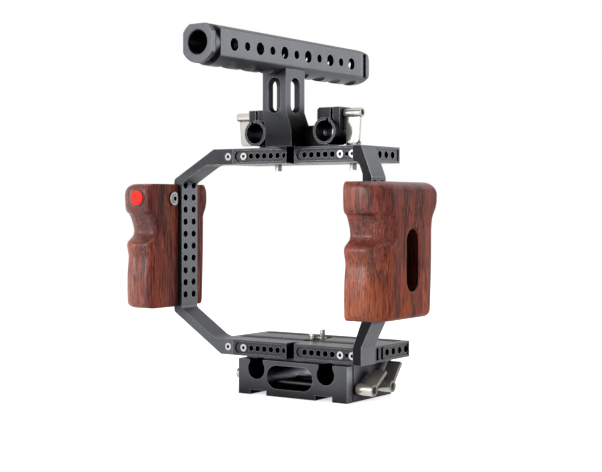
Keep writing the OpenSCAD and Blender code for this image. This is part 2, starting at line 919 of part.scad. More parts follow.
// the four silver screws in one row of rails
module rail_screw_row(z0) {
    z = z0 + plate_t / 2;
    color(STEEL) from_front() {
        for (x = [-rail_screw_x, rail_screw_x, right_end_screw_x])
            translate([x, sink, z])
                socket_screw_y(rail_screw_head_d / 2, rail_screw_head_h - fit,
                               rail_screw_d / 2 - eps, rail_depth + rail_screw_reach);
        translate([-left_arm_screw_x, head_fit, z])
            socket_screw_y(rail_screw_head_d / 2, rail_screw_head_h - fit,
                           rail_screw_d / 2 - eps, bracket_depth + arm_screw_reach);
    }
}

module upper_rail_screws() { rail_screw_row(top_z0); }
module lower_rail_screws() { rail_screw_row(bottom_z0); }

// ---- wooden grips ----

// levels of a grip: height, front edge, back edge and outer face, with the
// bar's front face at y = 0 and its outer face at x = 0
function grip_levels() =
    let (f = -grip_front, b = grip_back, round = grip_end_round)
    [
        [grip_z0, f + round, b - round - 1, grip_t - round],
        [grip_z0 + round, f, b - 1, grip_t],
        [groove_z0, f, b, grip_t],
        [groove_z0 + groove_low_h, f + finger_groove, b, grip_t],
        [groove_z1, f - 0.5, b + palm_swell / 4, grip_t + palm_side / 4],
        [swell_z, f - 1, b + palm_swell, grip_t + palm_side],
        [grip_z1 - round - 1, f - 1, b + palm_swell - 0.5, grip_t + palm_side],
        [grip_z1, f + round, b + palm_swell - round - 1, grip_t - round]
    ];

// thin slice of a grip at one level
module grip_slice(level) {
    translate([0, 0, level[0]])
        linear_extrude(height = eps)
            polygon(rounded([
                [-wrap, level[1], grip_inner_r],
                [level[3], level[1], grip_nose_r],
                [level[3], level[2], grip_edge_r],
                [-wrap, level[2], grip_heel_r]
            ]));
}

// a grip with its strap slot, the bar's seat and the pockets of its inserts
module grip_body() {
    levels = grip_levels();
    difference() {
        for (i = [0:len(levels) - 2])
            hull() {
                grip_slice(levels[i]);
                grip_slice(levels[i + 1]);
            }
        block([-wrap - cut, -wrap_gap, grip_z0 - cut],
              [0, grip_back + palm_swell + cut, grip_z1 + cut]);
        along_x(-cut, grip_t + cut)
            translate([grip_slot_y, grip_slot_z])
                rotate([0, 0, 90])
                    obround(strap_slot_h, strap_slot_w);
        for (z = grip_screw_z)
            rod_along_x([-cut, grip_screw_y, z], insert_r, insert_len + cut + insert_sink);
    }
}

// places a grip on the left or the right bar, its inner face against the bar
module on_left_bar() {
    translate([-left_out - eps, 0, 0])
        mirror([1, 0, 0])
            children();
}
module on_right_bar() {
    translate([right_out + eps, right_y0, 0])
        children();
}

module left_grip() {
    color(WOOD) from_front()
    difference() {
        on_left_bar()
            grip_body();
        rod_along_y([button_x, button_y0 - cut, button_z], bezel_r, bezel_len + cut);
        rod_along_y([button_x, button_y0, button_z], switch_r,
                    switch_y0 + switch_len + head_fit - button_y0);
        rod_along_x([jack_x - jack_len - head_fit, jack_y, jack_z], jack_r, jack_len + cut,
                    SMALL_FN);
    }
}

module right_grip() {
    color(WOOD) from_front()
    on_right_bar()
        grip_body();
}

// set screws sunk in two bar holes and screwed into the grip, outwards along +x
module grip_screw_pair() {
    for (z = grip_screw_z)
        difference() {
            rod_along_x([grip_screw_sink - bar_t, grip_screw_y, z], grip_screw_r,
                        grip_screw_len - grip_screw_sink, SMALL_FN);
            translate([grip_screw_sink - bar_t - cut, grip_screw_y, z])
                rotate([0, 90, 0])
                    cylinder(r = grip_screw_r * hex_across, h = cut + grip_socket_depth,
                             $fn = HEX_FN);
        }
}

module grip_screws() {
    color(STEEL) from_front() {
        on_left_bar() grip_screw_pair();
        on_right_bar() grip_screw_pair();
    }
}

module grip_insert_pair() {
    for (z = grip_screw_z)
        difference() {
            rod_along_x([insert_sink, grip_screw_y, z], insert_r - eps,
                        insert_len - insert_sink, SMALL_FN);
            rod_along_x([0, grip_screw_y, z], grip_screw_r + eps, insert_len + cut, SMALL_FN);
        }
}

module grip_inserts() {
    color(BRASS) from_front() {
        on_left_bar() grip_insert_pair();
        on_right_bar() grip_insert_pair();
    }
}

// ---- record button and remote jack ----

module record_button() {
    color(RED) from_front() {
        rod_along_y([button_x, button_y0 - button_stand, button_z], button_r, button_len);
        rod_along_y([button_x, button_y0 - button_stand + button_len - eps, button_z],
                    plunger_r, plunger_len + eps, SMALL_FN);
    }
}

module button_bezel() {
    color(DARK) from_front()
    difference() {
        rod_along_y([button_x, button_y0 - bezel_proud, button_z], bezel_r - eps,
                    bezel_len + bezel_proud - shank_fit);
        rod_along_y([button_x, button_y0 - cut, button_z], bezel_in_r, bezel_len + 2 * cut);
    }
}

module record_switch() {
    color(DARK) from_front()
        rod_along_y([button_x, switch_y0, button_z], switch_r - eps, switch_len);
}

module remote_jack() {
    color(STEEL) from_front()
    difference() {
        rod_along_x([jack_x - jack_len, jack_y, jack_z], jack_r - eps,
                    jack_len + jack_nut_t + jack_lip, SMALL_FN);
        rod_along_x([jack_x - jack_len + jack_floor, jack_y, jack_z], jack_bore_d / 2,
                    jack_len + jack_nut_t, SMALL_FN);
    }
}

module jack_nut() {
    color(STEEL) from_front()
    difference() {
        rod_along_x([jack_x + eps, jack_y, jack_z], jack_nut_d / 2, jack_nut_t);
        rod_along_x([jack_x - cut, jack_y, jack_z], jack_r, jack_nut_t + 2 * cut, SMALL_FN);
    }
}

// ---- top handle ----

// handle outline in X and Z: flat sides, a low crown above and a round belly below
module handle_outline() {
    intersection() {
        translate([0, handle_z - crown_drop])
            circle(r = crown_r, $fn = ROUND_FN);
        translate([-handle_w / 2, handle_bottom_z - cut])
            square([handle_w, handle_body_h + 2 * cut]);
        union() {
            translate([0, belly_z])
                circle(r = belly_r, $fn = ROUND_FN);
            translate([-handle_w, belly_z])
                square([2 * handle_w, handle_h]);
        }
    }
}

module handle_bore(y0, y1) {
    rod_along_y([0, y0, handle_z], handle_bore_r, y1 - y0);
}

module handle_tube() {
    color(GREY) from_front()
    difference() {
        union() {
            along_y(body_y0, body_y1)
                handle_outline();
            rod_along_y([0, body_y0 - neck_len + neck_groove_len, handle_z],
                        neck_r, neck_len - neck_groove_len + 1);
            rod_along_y([0, body_y0 - neck_len, handle_z], neck_groove_r, neck_len);
        }
        handle_bore(body_y0 - neck_len - cut, body_y1 + cut);
        side_holes();
        finger_grooves();
        handle_screw_holes();
    }
}

// row of side holes, large and small in turn
module side_holes() {
    for (i = [0:side_hole_count - 1])
        rod_along_x([-handle_w, handle_y + (i - (side_hole_count - 1) / 2) * side_hole_pitch,
                     handle_z],
                    (i % 2 == 0 ? side_hole_large_d : side_hole_small_d) / 2,
                    2 * handle_w, SMALL_FN);
}

// shallow grooves across the underside, none of them where the post sits
module finger_grooves() {
    front = floor((handle_len / 2 - finger_reach_front - finger_shift) / finger_pitch);
    back = floor((handle_len / 2 - finger_reach_back + finger_shift) / finger_pitch);
    for (i = [-front:back])
        if (i != 0)
            rod_along_x([-handle_w, handle_y - finger_shift + i * finger_pitch,
                         handle_bottom_z - finger_r + finger_depth],
                        finger_r, 2 * handle_w);
}

// holes for the two screws that hold the tube on the post, and their access
module handle_screw_holes() {
    for (s = [-1, 1])
        translate([0, handle_y + s * handle_screw_dy, 0]) {
            translate([0, 0, handle_bottom_z - cut])
                cylinder(r = handle_screw_r + shank_fit, h = handle_h / 2, $fn = SMALL_FN);
            translate([0, 0, handle_recess_z])
                cylinder(r = handle_screw_head_r + head_fit, h = handle_h + cut,
                         $fn = SMALL_FN);
        }
}

module handle_screws() {
    color(STEEL) from_front()
    for (s = [-1, 1])
        translate([0, handle_y + s * handle_screw_dy, 0])
            difference() {
                union() {
                    cylinder_from(post_slot_top + head_fit, handle_socket_z,
                                  handle_screw_r - eps);
                    cylinder_from(handle_recess_z + eps,
                                  handle_recess_z + handle_screw_head_h - head_fit,
                                  handle_screw_head_r);
                }
                translate([0, 0, handle_socket_z])
                    cylinder(r = handle_screw_head_r * hex_across, h = handle_screw_head_h,
                             $fn = HEX_FN);
            }
}

// ring with a round underside, flat top and flat sides, its bore chamfered at the front
module handle_front_ring() {
    color(GREY) from_front()
    difference() {
        along_y(handle_y0, handle_y0 + front_ring_len - eps)
            translate([0, handle_z])
                intersection() {
                    circle(r = ring_r, $fn = ROUND_FN);
                    translate([-ring_side, -ring_r - cut])
                        square([2 * ring_side, ring_r + cut + ring_top]);
                }
        handle_bore(handle_y0 - cut, handle_y0 + front_ring_len + cut);
        translate([0, handle_y0 - eps, handle_z])
            rotate([-90, 0, 0])
                cylinder(r1 = handle_bore_r + ring_chamfer, r2 = handle_bore_r - shank_fit,
                         h = ring_chamfer + shank_fit, $fn = ROUND_FN);
    }
}

// rear ring with a rounded end and an upright slot in each flat side
module handle_end_cap() {
    low = handle_bottom_z;
    round = end_cap_len - cap_edge;
    color(GREY) from_front()
    difference() {
        intersection() {
            along_y(body_y1 + eps, handle_y1)
                handle_outline();
            along_x(-handle_w, handle_w) {
                translate([body_y1, low])
                    square([end_cap_len - round, handle_body_h]);
                translate([body_y1, low + round])
                    square([end_cap_len, handle_body_h - 2 * round]);
                for (z = [low + round, low + handle_body_h - round])
                    translate([handle_y1 - round, z])
                        circle(r = round, $fn = ROUND_FN);
            }
        }
        for (s = [-1, 1])
            translate([s * handle_w / 2, body_y1 + cap_slot_y, handle_z])
                block([-cap_slot_depth, 0, -cap_slot_h / 2],
                      [cap_slot_depth, cap_slot_w, cap_slot_h / 2]);
        handle_bore(body_y1 - cut, handle_y1 + cut);
    }
}

// ---- handle post ----

module handle_post() {
    color(GREY) from_front()
    difference() {
        intersection() {
            along_x(-foot_w / 2, foot_w / 2)
                polygon([
                    [post_y0, post_top_z],
                    [post_y0, foot_z1 + flare_h],
                    [foot_y0, undercut_z],
                    [foot_y0, top_z1],
                    [foot_y1, top_z1],
                    [foot_y1, foot_z1],
                    [post_y1 + flare_back, foot_z1],
                    [post_y1, foot_z1 + flare_h],
                    [post_y1, post_top_z]
                ]);
            along_y(post_y0, foot_y1)
                polygon([
                    [-foot_w / 2, top_z1],
                    [foot_w / 2, top_z1],
                    [foot_w / 2, foot_z1],
                    [post_w / 2, foot_z1 + flare_h],
                    [post_w / 2, post_top_z],
                    [-post_w / 2, post_top_z],
                    [-post_w / 2, foot_z1 + flare_h],
                    [-foot_w / 2, foot_z1]
                ]);
        }
        along_y(post_y0 - cut, foot_y1 + cut)
            handle_outline();
        along_y(post_y0 - cut, foot_y1 + cut)
            translate([0, post_slot_top - post_slot_h / 2])
                rotate([0, 0, 90])
                    obround(post_slot_h, post_slot_w);
        along_x(-foot_w, foot_w)
            translate([handle_y, post_slot_top - post_slot_h / 2])
                rotate([0, 0, 90])
                    obround(post_slot_h, post_slot_w + post_slot_side);
        for (s = [-1, 1])
            translate([0, handle_y + s * handle_screw_dy, post_slot_top - cut])
                cylinder(r = handle_screw_r, h = post_top_z - post_slot_top, $fn = SMALL_FN);
        for (x = [-post_screw_x, post_screw_x])
            for (y = post_screw_y)
                translate([x, y, top_z1 - cut])
                    cylinder(r = post_screw_r, h = cut + post_thread, $fn = SMALL_FN);
        for (s = [-1, 1])
            rod_along_x([s * foot_w / 2 - foot_thread, bolt_y, foot_screw_z],
                        foot_screw_r, 2 * foot_thread, SMALL_FN);
    }
}

module post_screws() {
    color(STEEL) from_front()
    for (x = [-post_screw_x, post_screw_x])
        for (y = post_screw_y)
            translate([x, y, top_z0 + 2 * head_fit])
                socket_screw_z(post_screw_head_r, post_screw_head_h,
                               post_screw_r - eps, post_screw_len);
}

// ---- top rod clamps ----

// clamp on the +X side: ring, slit block on top and an arm to the post's foot
module rod_clamp_body() {
    color(DARK) from_front()
    difference() {
        union() {
            rod_along_y([rod_x, ring_y0, top_rod_z], ring_d / 2, ring_len);
            along_y(clamp_y0, clamp_y1)
                polygon([
                    [clamp_in, top_rod_z],
                    [clamp_out, top_rod_z],
                    [clamp_out, clamp_z1],
                    [clamp_in + clamp_chamfer, clamp_z1],
                    [clamp_in, clamp_z1 - clamp_chamfer]
                ]);
            block([foot_w / 2 + eps, clamp_y0, foot_arm_z0], [rod_x, clamp_y1, foot_arm_z1]);
        }
        rod_along_y([rod_x, ring_y0 - cut, top_rod_z], rod_r, ring_len + 2 * cut);
        block([slit_x - slit_w / 2, ring_y0 - cut, top_rod_z],
              [slit_x + slit_w / 2, ring_y1 + cut, clamp_z1 + cut]);
        rod_along_x([clamp_in - cut, bolt_y, bolt_z], bolt_hole_r, 2 * clamp_half + 2 * cut,
                    SMALL_FN);
        rod_along_x([foot_w / 2 - cut, bolt_y, foot_screw_z], foot_screw_r + shank_fit,
                    rod_x - rod_r + 2 * cut - foot_w / 2, SMALL_FN);
    }
}

module right_rod_clamp() { rod_clamp_body(); }
module left_rod_clamp() { mirror([1, 0, 0]) rod_clamp_body(); }

// screws that hold the clamps' arms against the post's foot
module clamp_foot_screws() {
    len = rod_x - rod_r - 2 * head_fit - foot_w / 2 + foot_thread - head_fit;
    color(STEEL) from_front()
    for (s = [0, 1])
        mirror([s, 0, 0])
            rod_along_x([foot_w / 2 - foot_thread + head_fit, bolt_y, foot_screw_z],
                        foot_screw_r - eps, len, SMALL_FN);
}

// bolt through the clamp block, with its head inside the lever's barrel
module clamp_bolt() {
    color(STEEL) from_front()
        rod_along_x([clamp_in + bolt_head_side, bolt_y, bolt_z], bolt_r,
                    barrel_x1 - bolt_short + bolt_head_side - clamp_in, SMALL_FN);
}

module right_clamp_bolt() { clamp_bolt(); }
module left_clamp_bolt() { mirror([1, 0, 0]) clamp_bolt(); }

// polished lever: barrel along X and a flat paddle that hangs from it
module clamp_lever() {
    color(STEEL) from_front()
    difference() {
        union() {
            rod_along_x([barrel_x0, bolt_y, bolt_z], barrel_r, barrel_len);
            along_y(bolt_y - paddle_t / 2, bolt_y + paddle_t / 2)
                polygon(rounded([
                    [barrel_x0 + paddle_in, bolt_z, 0],
                    [barrel_x0 + paddle_in, bolt_z - paddle_len, paddle_inner_r],
                    [barrel_x1 - paddle_in - paddle_taper, bolt_z - paddle_len, paddle_outer_r],
                    [barrel_x1 - paddle_in, bolt_z, 0]
                ]));
        }
        rod_along_x([barrel_x0 - cut, bolt_y, bolt_z], bolt_r + eps, barrel_len - 1, SMALL_FN);
        rod_along_x([barrel_x1 - barrel_end, bolt_y, bolt_z], bolt_r, barrel_end + cut,
                    SMALL_FN);
    }
}

module right_clamp_lever() { clamp_lever(); }
module left_clamp_lever() { mirror([1, 0, 0]) clamp_lever(); }

// ---- rod base ----

module base_block() {
    color(DARK) from_front()
    difference() {
        block([-base_left, 0, 0], [base_right, base_d, base_h]);
        for (x = [-rod_x, rod_x]) {
            rod_along_y([x, -cut, low_rod_h], rod_r, base_d + 2 * cut);
            block([x - neck_w / 2, -cut, neck_z], [x + neck_w / 2, base_d + cut, base_h + cut]);
            translate([x - notch_out * sign(x), 0, 0])
                block([-notch_w / 2, -cut, -cut], [notch_w / 2, base_d + cut, notch_h]);
        }
        along_y(-cut, base_d + cut)
            translate([-window_side, window_z])
                obround(window_w, window_h);
        // seam in the right face
        block([base_right - seam_depth, seam_y, -cut],
              [base_right + cut, seam_y + seam_w, base_h + cut]);
        rod_along_x([-base_left - cut, side_screw_y, side_screw_z], side_screw_r,
                    side_screw_len + cut + sink, SMALL_FN);
        for (y = [front_bolt_y, rear_bolt_y])
            rod_along_x([-base_left - cut, y, base_bolt_z], bolt_hole_r,
                        base_left + base_right + 2 * cut, SMALL_FN);
        for (x = [-base_screw_x, base_screw_x])
            for (y = base_screw_y)
                translate([x, y, -cut]) {
                    cylinder(r = base_screw_r + shank_fit, h = base_h + 2 * cut,
                             $fn = SMALL_FN);
                    cylinder(r = base_screw_head_r + head_fit,
                             h = cut + base_screw_head_h + sink + head_fit, $fn = SMALL_FN);
                }
    }
}

// plate that lifts the cage's bottom plate clear of the base
module base_spacer() {
    color(DARK) from_front()
    difference() {
        block([-base_left + spacer_side, spacer_front, base_h + eps],
              [base_right - spacer_side, base_d - spacer_back, bottom_z0 - eps]);
        for (x = [-rod_x, rod_x])
            rod_along_y([x, -cut, low_rod_h], rod_r + gap, base_d + 2 * cut);
        translate([0, slot_mid_y, base_h - cut])
            linear_extrude(height = spacer_t + 2 * cut)
                rotate([0, 0, 90])
                    obround(screw_slot_len + pocket_w - screw_slot_w, pocket_w);
        for (x = [-base_screw_x, base_screw_x])
            for (y = base_screw_y)
                translate([x, y, base_h - cut])
                    cylinder(r = base_screw_r + shank_fit, h = spacer_t + 2 * cut,
                             $fn = SMALL_FN);
    }
}

module base_screws() {
    color(STEEL) from_front()
    for (x = [-base_screw_x, base_screw_x])
        for (y = base_screw_y)
            translate([x, y, sink])
                socket_screw_z(base_screw_head_r, base_screw_head_h, base_screw_r - eps,
                               bottom_z0 + base_thread - base_screw_head_h - 1);
}

// bolt across the base, from its nut on the left to its lever on the right
module base_bolt(y) {
    color(STEEL) from_front()
        rod_along_x([-base_left - nut_len + nut_inset, y, base_bolt_z], bolt_r,
                    base_left + nut_len - nut_inset + base_barrel_x1 - base_barrel_end,
                    SMALL_FN);
}

module front_base_bolt() { base_bolt(front_bolt_y); }
module rear_base_bolt() { base_bolt(rear_bolt_y); }

// round-headed screw in the base's left face, near its front
module side_screw() {
    color(STEEL) from_front()
    difference() {
        union() {
            rod_along_x([-base_left - eps - side_screw_head_h, side_screw_y, side_screw_z],
                        side_screw_head_r, side_screw_head_h, SMALL_FN);
            rod_along_x([-base_left - cut, side_screw_y, side_screw_z],
                        side_screw_r - eps, side_screw_len + cut, SMALL_FN);
        }
        translate([-base_left - eps - side_screw_head_h - cut, side_screw_y, side_screw_z])
            rotate([0, 90, 0])
                cylinder(r = side_screw_head_r * hex_across, h = cut + side_socket_depth,
                         $fn = HEX_FN);
    }
}

// round nut at a bolt's left end
module bolt_nut(y) {
    color(STEEL) from_front()
    difference() {
        rod_along_x([-base_left - eps - nut_len, y, base_bolt_z], nut_r, nut_len, SMALL_FN);
        rod_along_x([-base_left - nut_len + nut_inset - gap, y, base_bolt_z], bolt_hole_r,
                    nut_len + cut, SMALL_FN);
    }
}

module front_bolt_nut() { bolt_nut(front_bolt_y); }
module rear_bolt_nut() { bolt_nut(rear_bolt_y); }

// polished lever of the base, its paddle raised towards the back
module base_lever(y, deg) {
    color(STEEL) from_front()
    difference() {
        union() {
            rod_along_x([base_barrel_x0, y, base_bolt_z], base_barrel_r,
                        base_barrel_x1 - base_barrel_x0);
            rod_along_x([base_right + gap, y, base_bolt_z], base_collar_r,
                        base_barrel_x0 - base_right - gap + cut, SMALL_FN);
            translate([0, y, base_bolt_z])
                rotate([deg, 0, 0])
                    block([base_barrel_x1 - base_paddle_w, 0, -base_paddle_t / 2],
                          [base_barrel_x1 - base_paddle_side, base_paddle_len,
                           base_paddle_t / 2]);
        }
        rod_along_x([base_right, y, base_bolt_z], bolt_r + eps,
                    base_barrel_x1 - base_right, SMALL_FN);
        rod_along_x([base_barrel_x1 - base_barrel_end, y, base_bolt_z], base_end_bore_r,
                    base_barrel_end + cut, SMALL_FN);
    }
}

module front_base_lever() { base_lever(front_bolt_y, front_paddle_deg); }
module rear_base_lever() { base_lever(rear_bolt_y, rear_paddle_deg); }

// ---- camera screws ----

// slotted screw whose head sits in the pocket under the bottom plate
module camera_screw() {
    color(STEEL) from_front()
    translate([0, camera_screw_y, 0])
    difference() {
        union() {
            translate([0, 0, camera_pocket_z - gap - camera_head_h])
                cylinder(r = camera_head_r, h = camera_head_h, $fn = ROUND_FN);
            cylinder_from(camera_pocket_z - gap - cut, bottom_z1 + gap + cut,
                          camera_screw_d / 2 - camera_neck_cut);
            translate([0, 0, bottom_z1 + gap])
                cylinder(r = camera_screw_d / 2, h = camera_screw_rise - gap, $fn = ROUND_FN);
        }
        translate([0, 0, camera_pocket_z - gap - camera_head_h])
            cube([2 * camera_head_r + cut, slot_w, 2 * slot_depth], center = true);
    }
}

// pin that keeps the camera from turning, held in the slot by its collar
module locating_pin() {
    color(STEEL) from_front()
    translate([0, pin_y, 0]) {
        cylinder_from(camera_pocket_z - pin_collar_h, camera_pocket_z - eps, camera_head_r);
        cylinder_from(camera_pocket_z - cut, bottom_z1 + 2 * gap, screw_slot_w / 2 - eps);
        cylinder_from(bottom_z1 + gap, bottom_z1 + pin_rise, pin_d / 2);
    }
}

// upright cylinder between two heights
module cylinder_from(z0, z1, r) {
    translate([0, 0, z0])
        cylinder(r = r, h = z1 - z0, $fn = SMALL_FN);
}

// screw that presses the camera down from the top plate
module hold_down_screw(x) {
    color(STEEL) from_front()
    translate([x, hold_down_y, 0])
    difference() {
        union() {
            cylinder_from(top_z1 + gap, top_z1 + gap + hold_down_head_h, hold_down_head_r);
            translate([0, 0, top_z0 - hold_down_reach])
                cylinder(r = hold_down_d / 2, h = plate_t + hold_down_reach + gap + 1,
                         $fn = ROUND_FN);
        }
        translate([0, 0, top_z1 + gap + hold_down_head_h])
            cube([2 * hold_down_head_r + cut, slot_w, 2 * slot_depth], center = true);
    }
}

module left_hold_down_screw() { hold_down_screw(-hold_down_x); }
module right_hold_down_screw() { hold_down_screw(hold_down_x); }

left_bracket();
right_bracket();
top_plate();
bottom_plate();
upper_left_rail();
upper_right_rail();
lower_left_rail();
lower_right_rail();
upper_rail_screws();
lower_rail_screws();
front_pad_strip();
rear_pad_strip();
left_grip();
right_grip();
grip_screws();
grip_inserts();
record_button();
button_bezel();
record_switch();
remote_jack();
jack_nut();
handle_tube();
handle_front_ring();
handle_end_cap();
handle_screws();
handle_post();
post_screws();
left_rod_clamp();
right_rod_clamp();
clamp_foot_screws();
left_clamp_bolt();
right_clamp_bolt();
left_clamp_lever();
right_clamp_lever();
base_block();
base_spacer();
base_screws();
front_base_bolt();
rear_base_bolt();
front_base_lever();
rear_base_lever();
front_bolt_nut();
rear_bolt_nut();
side_screw();
camera_screw();
locating_pin();
left_hold_down_screw();
right_hold_down_screw();
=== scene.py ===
import json
import math

import bmesh
import bpy
import numpy as np
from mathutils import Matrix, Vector


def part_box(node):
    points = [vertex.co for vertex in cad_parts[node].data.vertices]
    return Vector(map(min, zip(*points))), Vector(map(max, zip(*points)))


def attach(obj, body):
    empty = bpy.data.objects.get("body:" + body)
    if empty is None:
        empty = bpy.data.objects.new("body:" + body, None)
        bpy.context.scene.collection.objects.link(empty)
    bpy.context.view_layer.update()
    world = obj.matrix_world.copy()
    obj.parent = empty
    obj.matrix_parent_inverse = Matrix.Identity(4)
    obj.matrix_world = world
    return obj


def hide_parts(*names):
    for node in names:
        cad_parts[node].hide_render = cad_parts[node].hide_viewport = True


# The camera cage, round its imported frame: finishes and broken edges for the CAD nodes, carved
# wooden grips, screw threads and a white studio. The mesh code's lengths are in millimetres.

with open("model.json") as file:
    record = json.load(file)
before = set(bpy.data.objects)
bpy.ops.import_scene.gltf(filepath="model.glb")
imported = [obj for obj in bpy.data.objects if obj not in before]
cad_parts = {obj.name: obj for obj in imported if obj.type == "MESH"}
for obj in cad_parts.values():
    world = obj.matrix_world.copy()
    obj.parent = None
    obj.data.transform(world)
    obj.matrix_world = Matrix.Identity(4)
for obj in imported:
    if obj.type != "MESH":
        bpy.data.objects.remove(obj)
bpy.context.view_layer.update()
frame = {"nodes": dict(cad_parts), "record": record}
NODES = frame["nodes"]
MM = 0.001
FRONT, RIGHT, UP = (0, -1, 0), (1, 0, 0), (0, 0, 1)


def add_object(name, data):
    """A new object in the scene's own collection."""
    o = bpy.data.objects.new(name, data)
    bpy.context.scene.collection.objects.link(o)
    return o


def aim(o, direction):
    """Turns a camera or a lamp to look along a direction, upright."""
    o.rotation_euler = Vector(direction).to_track_quat("-Z", "Y").to_euler()


# ---------------------------------------------------------------- camera

SENSOR_WIDTH = 36
PHOTO_WIDTH = 602           # pixels, as are the next two
FOCAL_LENGTH = 1301
HORIZON_SHIFT = -32
CAMERA_AT = (0.5316, -0.7903, 0.1385)
CAMERA_LOOK = (-0.566, 0.824, 0)


def make_camera():
    """The camera fitted to the photograph. It looks level, and its picture is shifted."""
    data = bpy.data.cameras.new("camera")
    data.sensor_width = SENSOR_WIDTH
    data.lens = SENSOR_WIDTH * FOCAL_LENGTH / PHOTO_WIDTH
    data.shift_y = HORIZON_SHIFT / PHOTO_WIDTH
    data.clip_start, data.clip_end = 0.05, 20
    cam = add_object("camera", data)
    cam.location = CAMERA_AT
    aim(cam, CAMERA_LOOK)
    bpy.context.scene.camera = cam


# ---------------------------------------------------------------- material helpers

def times(color, factor, plus=0.0):
    """A colour made lighter or darker, and no lighter than white."""
    return tuple(min(1, c * factor + plus) for c in color)


def rgba(color):
    """Four channels from one grey number or from a colour's three."""
    return (color,) * 3 + (1,) if isinstance(color, (int, float)) else (*color, 1)


def fill(tree, node, inputs):
    """Sets a node's inputs by name or index. A socket given as a value is linked."""
    for key, value in inputs.items():
        if isinstance(value, bpy.types.NodeSocket):
            tree.links.new(value, node.inputs[key])
        else:
            node.inputs[key].default_value = value


def add_node(tree, kind, inputs=None, **settings):
    """A new node, its settings first and then its inputs."""
    node = tree.nodes.new(kind)
    for key, value in settings.items():
        setattr(node, key, value)
    fill(tree, node, inputs or {})
    return node


